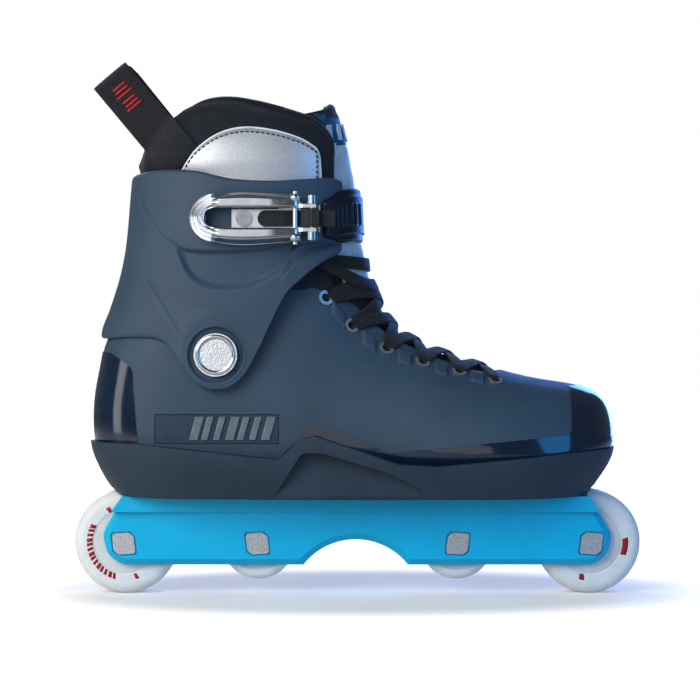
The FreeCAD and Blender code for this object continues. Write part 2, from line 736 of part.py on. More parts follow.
def make_buckle_base():
    """Pressed steel channel: a flat tail for the screw, then a floor with two side walls."""
    floor = size("buckle_base_face")
    x_screw, x_pin, x_guide = size("buckle_screw_x"), size("lever_pin_x"), size("guide_pin_x")
    thick = size("base_thickness")
    tail = block(x_screw - 6.5, x_pin - 8, floor - thick, floor, BUCKLE_Z - 5.0, BUCKLE_Z + 5.0)
    channel = block(x_pin - 9, x_guide + 4, floor - thick, floor, BUCKLE_Z - 7.2, BUCKLE_Z + 7.2)
    base = tail.fuse(channel)
    for side in (-1, 1):
        z0, z1 = sorted((BUCKLE_Z + side * 5.4, BUCKLE_Z + side * 7.2))
        corners = [(x_pin - 7, floor), (x_pin - 4, -53.4), (x_pin + 2, -53.4), (x_pin + 4, -54.2),
                   (x_guide + 2, -54.2), (x_guide + 4, floor), (x_pin - 7, floor)]
        ear = Part.makePolygon([V(x, y, z0) for x, y in corners])
        base = base.fuse(Part.Face(ear).extrude(V(0, 0, z1 - z0)))
    base = base.removeSplitter()
    cuts = [rod(2.6, (x_screw, floor + 1, BUCKLE_Z), (x_screw, floor - 4, BUCKLE_Z)),
            pin_bore(x_pin, size("lever_pin_depth"), 0.02), pin_bore(x_guide, size("guide_pin_depth"), 0.02)]
    return base.cut(cuts)


shaped("buckle_base", make_buckle_base())


def make_base_screw():
    floor, x = size("buckle_base_face - base_thickness"), size("buckle_screw_x")
    head = rod(4.3, (x, floor - 1.6, BUCKLE_Z), (x, floor, BUCKLE_Z))
    shank = rod(2.5, (x, floor, BUCKLE_Z), (x, -43.0, BUCKLE_Z))
    hexagon = Part.makePolygon([V(x + 1.7 * math.cos(math.radians(60 * k)), floor - 1.7,
                                  BUCKLE_Z + 1.7 * math.sin(math.radians(60 * k))) for k in range(7)])
    socket = Part.Face(hexagon).extrude(V(0, 1.1, 0))
    return head.fuse(shank).cut(socket)


shaped("buckle_screw", make_base_screw())


def make_pin(label, x, depth, half_length, radius):
    body = turned(label, [("0", "-%s" % half_length), (radius, "-%s" % half_length),
                          (radius, half_length), ("0", half_length)])
    place(body, x, depth, "buckle_height", TURN(V(1, 0, 0), 90))
    return keep(body, label)


make_pin("lever_pin", "lever_pin_x", "lever_pin_depth", "14.0", "pin_radius")
make_pin("guide_pin", "guide_pin_x", "guide_pin_depth", "11.9", "pin_radius")


def make_guide_drums():
    x, y = size("guide_pin_x"), size("guide_pin_depth")
    drums = []
    for side in (-1, 1):
        z0, z1 = sorted((BUCKLE_Z + side * 7.4, BUCKLE_Z + side * 11.7))
        drums.append(rod(2.9, (x, y, z0), (x, y, z1)).cut(pin_bore(x, y, 0)))
    return Part.makeCompound(drums)


shaped("guide_drums", make_guide_drums())


def make_ladder_strap():
    """Toothed tail of the strap, straight through the buckle."""
    x_tip, x_root = size("buckle_screw_x") + 11.6, -12.0
    floor = size("buckle_base_face - base_thickness") - 0.1
    thick = 1.3
    strip = block(x_tip, x_root, floor - thick, floor, BUCKLE_Z - 4.3, BUCKLE_Z + 4.3)
    teeth = []
    pitch, rise = 2.4, 0.4
    start = size("lever_pin_x") - 6
    for index in range(8):
        x = start + pitch * index
        face = floor - thick
        corners = [(x, face), (x, face - rise), (x + pitch * 0.9, face), (x, face)]
        tooth = Part.makePolygon([V(u, v, BUCKLE_Z - 3.2) for u, v in corners])
        teeth.append(Part.Face(tooth).extrude(V(0, 0, 6.4)))
    tip = Part.makeCylinder(4.3, thick, V(x_tip, floor - thick, BUCKLE_Z), V(0, 1, 0))
    return strip.fuse([tip] + teeth).removeSplitter()


shaped("ladder_strap", make_ladder_strap())


def make_lever():
    """Chromed lever: two arms, joined at the finger tip, with an open window between them."""
    x_pin, y_pin = size("lever_pin_x"), size("lever_pin_depth")
    face = size("lever_face")
    x_tip = -88.5
    def at(x, z):
        return V(x, face, BUCKLE_Z + z)
    plan = Part.Face(Part.Wire([
        Part.Arc(at(-76, -12.2), at(x_tip, 0), at(-76, 12.2)).toShape(),
        Part.Arc(at(-76, 12.2), at(-63, 14.4), at(-45, 13.4)).toShape(),
        Part.LineSegment(at(-45, 13.4), at(-29.6, 12.6)).toShape(),
        Part.LineSegment(at(-29.6, 12.6), at(-29.6, -12.6)).toShape(),
        Part.LineSegment(at(-29.6, -12.6), at(-45, -13.4)).toShape(),
        Part.Arc(at(-45, -13.4), at(-63, -14.4), at(-76, -12.2)).toShape()]))
    lever = plan.extrude(V(0, 7.4, 0))
    crown = [(x_tip - 1, -49.6), (-60, -49.8), (-40, -49.0), (-29, -49.0), (-29, -54.6), (-40, -56.2),
             (-60, -56.6), (-78, -55.4), (x_tip - 1, -51.6), (x_tip - 1, -49.6)]
    profile = Part.Face(Part.makePolygon([V(x, y, 0) for x, y in crown]))
    lever = lever.common(profile.extrude(V(0, 0, 300)))
    window = block(-72.8, -20, -80, -40, BUCKLE_Z - 5.2, BUCKLE_Z + 5.2)
    inner = block(-72.8, -20, -54.2, -40, BUCKLE_Z - 8.0, BUCKLE_Z + 8.0)
    lever = lever.cut([window, inner])
    front = block(x_pin - 6, -20, -80, -40, BUCKLE_Z - 8.0, BUCKLE_Z + 8.0)
    return lever.cut([front, pin_bore(x_pin, y_pin, 0.05)])


shaped("lever", make_lever())


def make_pawl():
    """Sprung catch between the base's walls: it hooks the ladder's teeth."""
    x, y = size("guide_pin_x"), size("guide_pin_depth")
    barrel = rod(2.2, (x, y, BUCKLE_Z - 5.0), (x, y, BUCKLE_Z + 5.0))
    corners = [(x, y - 2.1), (x - 6.2, y + 1.5), (x - 5.8, y + 2.5), (x, y + 1.6), (x, y - 2.1)]
    outline_wire = Part.makePolygon([V(u, v, BUCKLE_Z - 5.0) for u, v in corners])
    nose = Part.Face(outline_wire).extrude(V(0, 0, 10.0))
    thumb = block(x + 0.5, x + 3.6, y - 2.1, y - 1.0, BUCKLE_Z - 5.0, BUCKLE_Z + 5.0)
    return barrel.fuse([nose, thumb]).cut(pin_bore(x, y, 0.05)).removeSplitter()


shaped("pawl", make_pawl())

# ---------------------------------------------------------------- frame

def make_frame():
    body = doc.addObject("PartDesign::Body", "frame")
    side = [("-139.6", "33"), ("-136.5", "22"), ("-129", "frame_bottom"), ("129", "frame_bottom"),
            ("136.5", "22"), ("139.4", "33"), ("126", "frame_top"), ("-128", "frame_top")]
    pad(body, outline(body, "XZ_Plane", side, "frame_side"), "2 * frame_half_width", "frame_beam", midplane=True)

    def low_corner(edge):
        return runs_across(edge) and edge.Vertexes[0].Z < size("frame_top") - 1
    rounded(body, low_corner, "frame_corner_round", "frame_corners")
    arch = pocket_through(body, circles(body, "XZ_Plane", [("-1", "arch_centre_height", "arch_radius")],
                                        "arch_circle"), "grind_arch")
    chamfer = body.newObject("PartDesign::Chamfer", "frame_lower_edges")
    on_side = on_side_face(size("frame_half_width"))
    chamfer.Base = (arch, ["Edge%d" % number for number, edge in enumerate(arch.Shape.Edges, start=1)
                           if on_side(edge) and edge.BoundBox.ZMin < size("frame_top") - 1])
    chamfer.setExpression("Size", bound("frame_edge_chamfer"))
    doc.recompute()
    upper = [("-134", "frame_flange"), ("131.6", "frame_flange"), ("126", "frame_top"), ("-128", "frame_top")]
    pad(body, outline(body, "XZ_Plane", upper, "frame_flange_side"), "2 * frame_top_half_width",
        "frame_flange", midplane=True)
    for sign in ("-", ""):
        reach = "31"
        x_in, x_out = sign + reach, sign + "150"
        low = outline(body, "XZ_Plane", [(x_in, "10"), (x_out, "10"), (x_out, "deck_underside"),
                                         (x_in, "deck_underside")], "channel_side")
        cut = body.newObject("PartDesign::Pocket", "channel")
        cut.Profile = low
        cut.Midplane = True
        cut.setExpression("Length", bound("2 * channel_half_width"))
        well_edge = "%s(outer_axle_place - wheel_radius - wheel_clearance + 6)" % sign
        high = outline(body, "XZ_Plane", [(well_edge, "45"), (x_out, "45"), (x_out, "60"),
                                          (well_edge, "60")], "wheel_well_side")
        cut = body.newObject("PartDesign::Pocket", "wheel_well")
        cut.Profile = high
        cut.Midplane = True
        cut.setExpression("Length", bound("2 * channel_half_width"))
    doc.recompute()
    places = [(sign + name) for name in ("outer_axle_place", "inner_axle_place") for sign in ("-", "")]
    for wall in (-1, 1):
        bosses = circles(body, "XZ_Plane", [(x, "wheel_radius", "boss_radius") for x in places], "boss_rings")
        bosses.AttachmentOffset = FreeCAD.Placement(V(0, 0, -wall * size("bearing_face + 0.05")), TURN())
        pad(body, bosses, "channel_half_width - bearing_face + 0.5", "bosses", reverse=(wall == 1))
    pocket_through(body, circles(body, "XZ_Plane", [(x, "wheel_radius", "axle_radius + 0.05") for x in places],
                                 "axle_hole_circles"), "axle_holes")
    holes = circles(body, "XY_Plane", [(sign + "frame_bolt_place", "0", "frame_bolt_radius + 0.2")
                                       for sign in ("-", "")], "frame_bolt_circles")
    pocket_through(body, holes, "frame_bolt_holes")
    return keep(body, "frame")


frame_body = make_frame()

AXLE_PLACES = [-size("outer_axle_place"), -size("inner_axle_place"),
               size("inner_axle_place"), size("outer_axle_place")]
AXLE_Z = size("wheel_radius")
HEAD_OUTLINE = [(-6.6, 5.4), (-5.4, -3.8), (-2.6, -6.0), (6.6, -5.4), (5.4, 3.8), (2.6, 6.0)]


def axle_head(x, lean, low_y, high_y, grow=0.0):
    """A skewed rounded square, mirrored on the front axles."""
    corners = [V(x + lean * (u + math.copysign(grow, u)), low_y, AXLE_Z + w + math.copysign(grow, w))
               for u, w in HEAD_OUTLINE]
    head = Part.Face(Part.makePolygon(corners + corners[:1])).extrude(V(0, high_y - low_y, 0))
    edges = [edge for edge in head.Edges if abs(edge.Vertexes[0].Y - edge.Vertexes[-1].Y) > 1]
    return head.makeFillet(1.7, edges)


def group(label, shapes):
    return shaped(label, Part.makeCompound(shapes))


def lean_of(x):
    return 1 if x < 0 else -1


def make_axles():
    side = size("frame_half_width")
    axles = []
    for x in AXLE_PLACES:
        head = axle_head(x, lean_of(x), -side - 0.25, -side + 1.5)
        shank = rod(size("axle_radius"), (x, -side + 1.5, AXLE_Z), (x, side - 4, AXLE_Z))
        thread = rod(size("bolt_thread_radius"), (x, 0, AXLE_Z), (x, side, AXLE_Z))
        axles.append(head.fuse(shank).cut(thread).removeSplitter())
    return axles


group("axles", make_axles())


def make_axle_bolts():
    side = size("frame_half_width")
    bolts = []
    for x in AXLE_PLACES:
        head = rod(6.0, (x, side - 2.5, AXLE_Z), (x, side + 0.2, AXLE_Z))
        thread = rod(size("bolt_thread_radius"), (x, 2, AXLE_Z), (x, side - 2.5, AXLE_Z))
        hexagon = Part.makePolygon([V(x + 2.3 * math.cos(math.radians(60 * k)), side - 1.5,
                                      AXLE_Z + 2.3 * math.sin(math.radians(60 * k))) for k in range(7)])
        bolts.append(head.fuse(thread).cut(Part.Face(hexagon).extrude(V(0, 3, 0))))
    return bolts


group("axle_bolts", make_axle_bolts())


def seat_frame():
    """Sink the axle heads and the bolt heads into the frame's walls."""
    side = size("frame_half_width")
    tool = []
    for x in AXLE_PLACES:
        tool.append(axle_head(x, lean_of(x), -side - 2, -side + 1.55, 0.7))
        tool.append(rod(6.3, (x, side - 2.55, AXLE_Z), (x, side + 2, AXLE_Z)))
    cutter = doc.addObject("Part::Feature", "head_pockets")
    cutter.Shape = Part.makeCompound(tool)
    seated = doc.addObject("Part::Cut", "frame_seated")
    seated.Base = frame_body
    seated.Tool = cutter
    doc.recompute()
    SUBPARTS.remove(frame_body)
    frame_body.Label = "frame_blank"
    return keep(seated, "frame")


seat_frame()


def frame_fasteners():
    bolts, washers, nuts = [], [], []
    radius = size("frame_bolt_radius")
    deck = size("deck_underside")
    for side in (-1, 1):
        x = side * size("frame_bolt_place")
        washer = rod(7.0, (x, 0, deck - 1.2), (x, 0, deck)).cut(rod(radius + 0.2, (x, 0, 40), (x, 0, 60)))
        washers.append(washer)
        head = rod(5.2, (x, 0, deck - 4.6), (x, 0, deck - 1.2))
        corners = [(2.3 * math.cos(math.radians(60 * k)), 2.3 * math.sin(math.radians(60 * k))) for k in range(7)]
        hexagon = Part.makePolygon([V(x + u, v, deck - 5) for u, v in corners])
        socket = Part.Face(hexagon).extrude(V(0, 0, 2.6))
        bolts.append(head.fuse(rod(radius, (x, 0, deck - 1.2), (x, 0, 70.5))).cut(socket))
        nuts.append(rod(7.0, (x, 0, 66), (x, 0, 67.4)).fuse(rod(4.6, (x, 0, 66), (x, 0, 70)))
                    .cut(rod(radius + 0.02, (x, 0, 60), (x, 0, 75))))
    group("frame_bolts", bolts)
    group("frame_washers", washers)
    group("frame_nuts", nuts)


frame_fasteners()
absorber = next(item for item in SUBPARTS if item.Label == "shock_absorber")
absorber.Shape = absorber.Shape.cut([rod(7.3, (side * size("frame_bolt_place"), 0, 60),
                                         (side * size("frame_bolt_place"), 0, 75)) for side in (-1, 1)])

# ---------------------------------------------------------------- wheels and bearings

def ring_shape(bore, radius, low_y, high_y, x):
    solid = rod(radius, (x, low_y, AXLE_Z), (x, high_y, AXLE_Z))
    return solid.cut(rod(bore, (x, low_y - 1, AXLE_Z), (x, high_y + 1, AXLE_Z)))


def bearing_middles():
    middle = size("bearing_face - bearing_width / 2")
    return (-middle, middle)


def race_groove(x, y):
    return Part.makeTorus(size("ball_pitch_radius"), size("race_radius"), V(x, y, AXLE_Z), V(0, 1, 0))


def make_wheel(number, x, radius_name, hub_name, round_name):
    half = "wheel_width / 2"
    tyre = turned("tyre_%d" % number, [(hub_name, "-" + half + " + 1"), (hub_name + " + 2", "-" + half),
                                       (radius_name, "-" + half), (radius_name, half),
                                       (hub_name + " + 2", half), (hub_name, half + " - 1")])
    rounded(tyre, is_ring(size(radius_name)), round_name, "tread_rounding_%d" % number)
    place(tyre, str(x), "0", "wheel_radius")
    keep(tyre, "tyre_%d" % number)
    face, seat = "bearing_face", "(bearing_face - bearing_width)"
    hub = turned("hub_%d" % number, [("bearing_radius", "-" + face), (hub_name, "-" + face),
                                     (hub_name, face), ("bearing_radius", face), ("bearing_radius", seat),
                                     ("bearing_radius - 2.2", seat), ("bearing_radius - 2.2", "-" + seat),
                                     ("bearing_radius", "-" + seat)])
    place(hub, str(x), "0", "wheel_radius")
    keep(hub, "hub_%d" % number)
    rings, balls = [], []
    for middle in bearing_middles():
        half_width = size("bearing_width") / 2
        ring = ring_shape(size("outer_ring_bore"), size("bearing_radius"), middle - half_width,
                          middle + half_width, x)
        rings.append(ring.cut(race_groove(x, middle)))
        for step in range(7):
            angle = 2 * math.pi * step / 7
            pitch = size("ball_pitch_radius")
            balls.append(Part.makeSphere(size("ball_radius"), V(x + pitch * math.cos(angle), middle,
                                                                AXLE_Z + pitch * math.sin(angle))))
    group("bearing_outer_rings_%d" % number, rings)
    group("bearing_balls_%d" % number, balls)


for number, (x, kind) in enumerate(zip(AXLE_PLACES, ("", "small_", "small_", "")), start=1):
    make_wheel(number, x, kind + "wheel_radius", kind + "hub_radius", kind + "tread_round")


def make_inner_rings():
    rings, spacers = [], []
    half_width = size("bearing_width") / 2
    for x in AXLE_PLACES:
        for middle in bearing_middles():
            ring = ring_shape(size("bearing_bore"), size("inner_ring_radius"), middle - half_width,
                              middle + half_width, x)
            rings.append(ring.cut(race_groove(x, middle)))
        gap = size("bearing_face - bearing_width")
        spacers.append(ring_shape(size("bearing_bore"), size("spacer_radius"), -gap, gap, x))
    group("bearing_inner_rings", rings)
    group("bearing_spacers", spacers)


make_inner_rings()

# ---------------------------------------------------------------- checks and files

doc.recompute()
for item in doc.Objects:
    if any(flag in item.State for flag in ("Invalid", "Error")):
        raise RuntimeError("%s failed: %s" % (item.Label, item.State))
os.makedirs("parts", exist_ok=True)
for item in SUBPARTS:
    if item.Shape.isNull() or not item.Shape.isValid():
        raise RuntimeError(item.Label + " has no valid shape")
for item in SUBPARTS:
    item.Shape.exportStep("parts/%s.step" % item.Label)
    box = item.Shape.BoundBox
    print("%-24s %2d solids %9.0f mm3  x %7.1f %7.1f  y %6.1f %6.1f  z %6.1f %6.1f" % (
        item.Label, len(item.Shape.Solids), item.Shape.Volume, box.XMin, box.XMax, box.YMin, box.YMax,
        box.ZMin, box.ZMax))
print(len(SUBPARTS), "sub-parts")
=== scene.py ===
"""Looks of the inline skate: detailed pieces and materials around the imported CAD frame.

Lengths in the shape functions are millimetres in the row frame; meshes are made in metres.
"""
import math

import bpy
import bmesh
import numpy as np
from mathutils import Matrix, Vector, noise
from mathutils.bvhtree import BVHTree


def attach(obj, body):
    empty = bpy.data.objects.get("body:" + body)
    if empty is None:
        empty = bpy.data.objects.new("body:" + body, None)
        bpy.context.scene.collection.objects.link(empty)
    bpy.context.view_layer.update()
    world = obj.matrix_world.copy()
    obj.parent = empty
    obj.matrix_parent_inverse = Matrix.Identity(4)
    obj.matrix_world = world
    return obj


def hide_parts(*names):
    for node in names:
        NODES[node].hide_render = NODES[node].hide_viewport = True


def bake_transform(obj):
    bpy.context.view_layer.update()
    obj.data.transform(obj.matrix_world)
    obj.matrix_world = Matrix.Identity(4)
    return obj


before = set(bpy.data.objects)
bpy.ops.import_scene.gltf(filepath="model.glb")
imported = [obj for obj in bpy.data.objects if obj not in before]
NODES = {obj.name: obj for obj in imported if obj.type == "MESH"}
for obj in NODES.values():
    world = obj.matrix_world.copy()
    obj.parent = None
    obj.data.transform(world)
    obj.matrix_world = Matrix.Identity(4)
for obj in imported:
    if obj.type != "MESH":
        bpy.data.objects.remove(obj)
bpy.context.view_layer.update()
MM = 0.001


# ---------------------------------------------------------------- camera, light, floor

CAMERA_PLACE = (-0.0041, -1.0, 0.134)
CAMERA_LENS = 92.5
SENSOR = 36.0


def make_camera():
    data = bpy.data.cameras.new("camera")
    data.lens, data.sensor_width = CAMERA_LENS, SENSOR
    camera = bpy.data.objects.new("camera", data)
    camera.location = CAMERA_PLACE
    camera.rotation_euler = (math.radians(90), 0, 0)
    bpy.context.collection.objects.link(camera)
    bpy.context.scene.camera = camera


def area_light(name, place, aim, size, power, colour):
    data = bpy.data.lights.new(name, "AREA")
    data.shape, data.size, data.size_y = "RECTANGLE", size[0], size[1]
    data.energy, data.color = power, colour
    light = bpy.data.objects.new(name, data)
    light.location = place
    light.rotation_euler = (Vector(aim) - Vector(place)).to_track_quat("-Z", "Y").to_euler()
    bpy.context.collection.objects.link(light)


SKATE_MIDDLE = (0, 0, 0.13)
LIGHTS = {  # name: place, what it points at, size, power, colour
    "key_light": ((-0.56, -0.74, 0.52), (-0.03, 0, 0.08), (0.6, 0.6), 6.6, (1, 1, 1)),
    "front_card": ((-0.42, -2.3, 0.45), SKATE_MIDDLE, (1.3, 0.9), 3.5, (1, 1, 1)),
    "left_strip": ((-1.0, -0.25, 0.2), SKATE_MIDDLE, (0.25, 0.9), 2, (1, 1, 1)),
    "blue_fill": ((0.85, -0.75, 0.4), SKATE_MIDDLE, (0.5, 0.7), 4, (0.04, 0.4, 1.0)),
    "rim_light": ((0.5, 1.0, 0.4), SKATE_MIDDLE, (0.35, 0.8), 9, (0.08, 0.28, 1.0)),
    "back_light": ((-0.35, 0.95, 0.75), SKATE_MIDDLE, (0.9, 0.5), 4, (1, 1, 1)),
}
AMBIENT_COLOUR, AMBIENT_STRENGTH = (0.8, 0.9, 1, 1), 0.14
WHITE = (1, 1, 1, 1)


def make_lights():
    """Area lights, and a dim surrounding that the camera sees as white."""
    for name, facts in LIGHTS.items():
        area_light(name, *facts)
    world = bpy.data.worlds.new("studio")
    world.use_nodes = True
    tree = world.node_tree
    back = tree.nodes["Background"]
    back.inputs["Color"].default_value = AMBIENT_COLOUR
    back.inputs["Strength"].default_value = AMBIENT_STRENGTH
    seen = tree.nodes.new("ShaderNodeBackground")
    seen.inputs["Color"].default_value = WHITE
    seen.inputs["Strength"].default_value = 1.0
    path = tree.nodes.new("ShaderNodeLightPath")
    mix = tree.nodes.new("ShaderNodeMixShader")
    tree.links.new(path.outputs["Is Camera Ray"], mix.inputs[0])
    tree.links.new(back.outputs[0], mix.inputs[1])
    tree.links.new(seen.outputs[0], mix.inputs[2])
    tree.links.new(mix.outputs[0], tree.nodes["World Output"].inputs[0])
    bpy.context.scene.world = world
    bpy.context.scene.view_settings.view_transform = "Standard"


FLOOR_SIZE = 9
FLOOR_COLOUR = (0.8, 0.76, 0.7, 1)
FLOOR_GLOW = (0.26, 1.0)    # added light near the skate, and far from it
FLOOR_FADE = (0.11, 0.2)    # from, to, in squeezed metres
FLOOR_SQUEEZE = (0.8, 1.6, 1)


def make_floor():
    """A pale floor that fades to plain white away from the skate."""
    bpy.ops.mesh.primitive_plane_add(size=FLOOR_SIZE, location=(0, 0, 0))
    floor = bpy.context.object
    floor.name = "floor"
    material = bpy.data.materials.new("floor_paper")
    material.use_nodes = True
    tree = material.node_tree
    shader = tree.nodes["Principled BSDF"]
    shader.inputs["Base Color"].default_value = FLOOR_COLOUR
    shader.inputs["Roughness"].default_value = 0.8
    shader.inputs["Specular IOR Level"].default_value = 0.2
    shader.inputs["Emission Color"].default_value = WHITE
    place = tree.nodes.new("ShaderNodeTexCoord")
    squeeze = tree.nodes.new("ShaderNodeMapping")
    squeeze.inputs["Scale"].default_value = FLOOR_SQUEEZE
    length = tree.nodes.new("ShaderNodeVectorMath")
    length.operation = "LENGTH"
    fade = tree.nodes.new("ShaderNodeMapRange")
    fade.interpolation_type = "SMOOTHSTEP"
    fade.inputs["From Min"].default_value, fade.inputs["From Max"].default_value = FLOOR_FADE
    path = tree.nodes.new("ShaderNodeLightPath")
    seen = tree.nodes.new("ShaderNodeMath")
    seen.operation = "MULTIPLY"
    glow = tree.nodes.new("ShaderNodeMapRange")
    glow.inputs["To Min"].default_value, glow.inputs["To Max"].default_value = FLOOR_GLOW
    tree.links.new(place.outputs["Object"], squeeze.inputs["Vector"])
    tree.links.new(squeeze.outputs["Vector"], length.inputs[0])
    tree.links.new(length.outputs["Value"], fade.inputs["Value"])
    tree.links.new(fade.outputs["Result"], glow.inputs["Value"])
    tree.links.new(glow.outputs["Result"], seen.inputs[0])
    tree.links.new(path.outputs["Is Camera Ray"], seen.inputs[1])
    tree.links.new(seen.outputs[0], shader.inputs["Emission Strength"])
    floor.data.materials.append(material)


# ---------------------------------------------------------------- materials

class Finish:
    """A procedural material under construction."""

    def __init__(self, name, colour, rough, metallic=0.0):
        self.material = bpy.data.materials.new(name)
        self.material.use_nodes = True
        self.tree = self.material.node_tree
        self.shader = self.tree.nodes["Principled BSDF"]
        self.set("Base Color", (*colour, 1))
        self.set("Roughness", rough)
        self.set("Metallic", metallic)
        self.set("Specular IOR Level", 0.25 if metallic == 0 else 0.5)
        self.colour = colour
        self.place = self.tree.nodes.new("ShaderNodeTexCoord").outputs["Object"]
        self.heights = []

    def set(self, socket, value):
        self.shader.inputs[socket].default_value = value
        return self

    def link(self, source, target):
        self.tree.links.new(source, target)

    def texture(self, kind, **sockets):
        node = self.tree.nodes.new(kind)
        self.link(self.place, node.inputs["Vector"])
        for name, value in sockets.items():
            node.inputs[name.replace("_", " ")].default_value = value
        return node

    def math(self, operation, first, second=None):
        node = self.tree.nodes.new("ShaderNodeMath")
        node.operation = operation
        for index, value in enumerate((first, second)):
            if value is None:
                continue
            if isinstance(value, (int, float)):
                node.inputs[index].default_value = value
            else:
                self.link(value, node.inputs[index])
        return node.outputs[0]

    def noise(self, grain_mm, detail=3.0):
        return self.texture("ShaderNodeTexNoise", Scale=1000.0 / grain_mm, Detail=detail).outputs["Fac"]

    def mottle(self, grain_mm, amount):
        """Uneven colour: lighter and darker patches of about that size."""
        ramp = self.tree.nodes.new("ShaderNodeValToRGB")
        ramp.color_ramp.elements[0].position, ramp.color_ramp.elements[1].position = 0.3, 0.7
        ramp.color_ramp.elements[0].color = (*[c * (1 - amount) for c in self.colour], 1)
        ramp.color_ramp.elements[1].color = (*[min(c * (1 + amount), 1) for c in self.colour], 1)
        self.link(self.noise(grain_mm), ramp.inputs["Fac"])
        self.link(ramp.outputs["Color"], self.shader.inputs["Base Color"])
        return self

    def uneven_gloss(self, grain_mm, low, high):
        node = self.tree.nodes.new("ShaderNodeMapRange")
        self.link(self.noise(grain_mm, 4.0), node.inputs["Value"])
        node.inputs["From Min"].default_value, node.inputs["From Max"].default_value = 0.3, 0.7
        node.inputs["To Min"].default_value, node.inputs["To Max"].default_value = low, high
        self.link(node.outputs["Result"], self.shader.inputs["Roughness"])
        return self

    def bump(self, height, depth_mm):
        """Adds a bump of that depth, on top of those made before."""
        node = self.tree.nodes.new("ShaderNodeBump")
        node.inputs["Distance"].default_value = depth_mm * MM
        self.link(height, node.inputs["Height"])
        if self.heights:
            self.link(self.heights[-1].outputs["Normal"], node.inputs["Normal"])
        self.heights.append(node)
        self.link(node.outputs["Normal"], self.shader.inputs["Normal"])
        return self

    def grain(self, grain_mm, depth_mm):
        return self.bump(self.noise(grain_mm, 2.0), depth_mm)

    def pebble(self, grain_mm, depth_mm):
        cells = self.texture("ShaderNodeTexVoronoi", Scale=1000.0 / grain_mm)
        cells.feature = "SMOOTH_F1"
        return self.bump(cells.outputs["Distance"], depth_mm)

    def waves(self, direction, pitch_mm, depth_mm):
        """Ribs across a direction, in the object's own axes."""
        along_way = self.tree.nodes.new("ShaderNodeVectorMath")
        along_way.operation = "DOT_PRODUCT"
        self.link(self.place, along_way.inputs[0])
        along_way.inputs[1].default_value = Vector(direction).normalized()
        phase = self.math("MULTIPLY", along_way.outputs["Value"], 2 * math.pi / (pitch_mm * MM))
        return self.bump(self.math("SINE", phase), depth_mm)


def weave(finish, first, second, pitch_mm, depth_mm):
    finish.waves(first, pitch_mm, depth_mm)
    finish.waves(second, pitch_mm * 1.3, depth_mm * 0.7)
    return finish


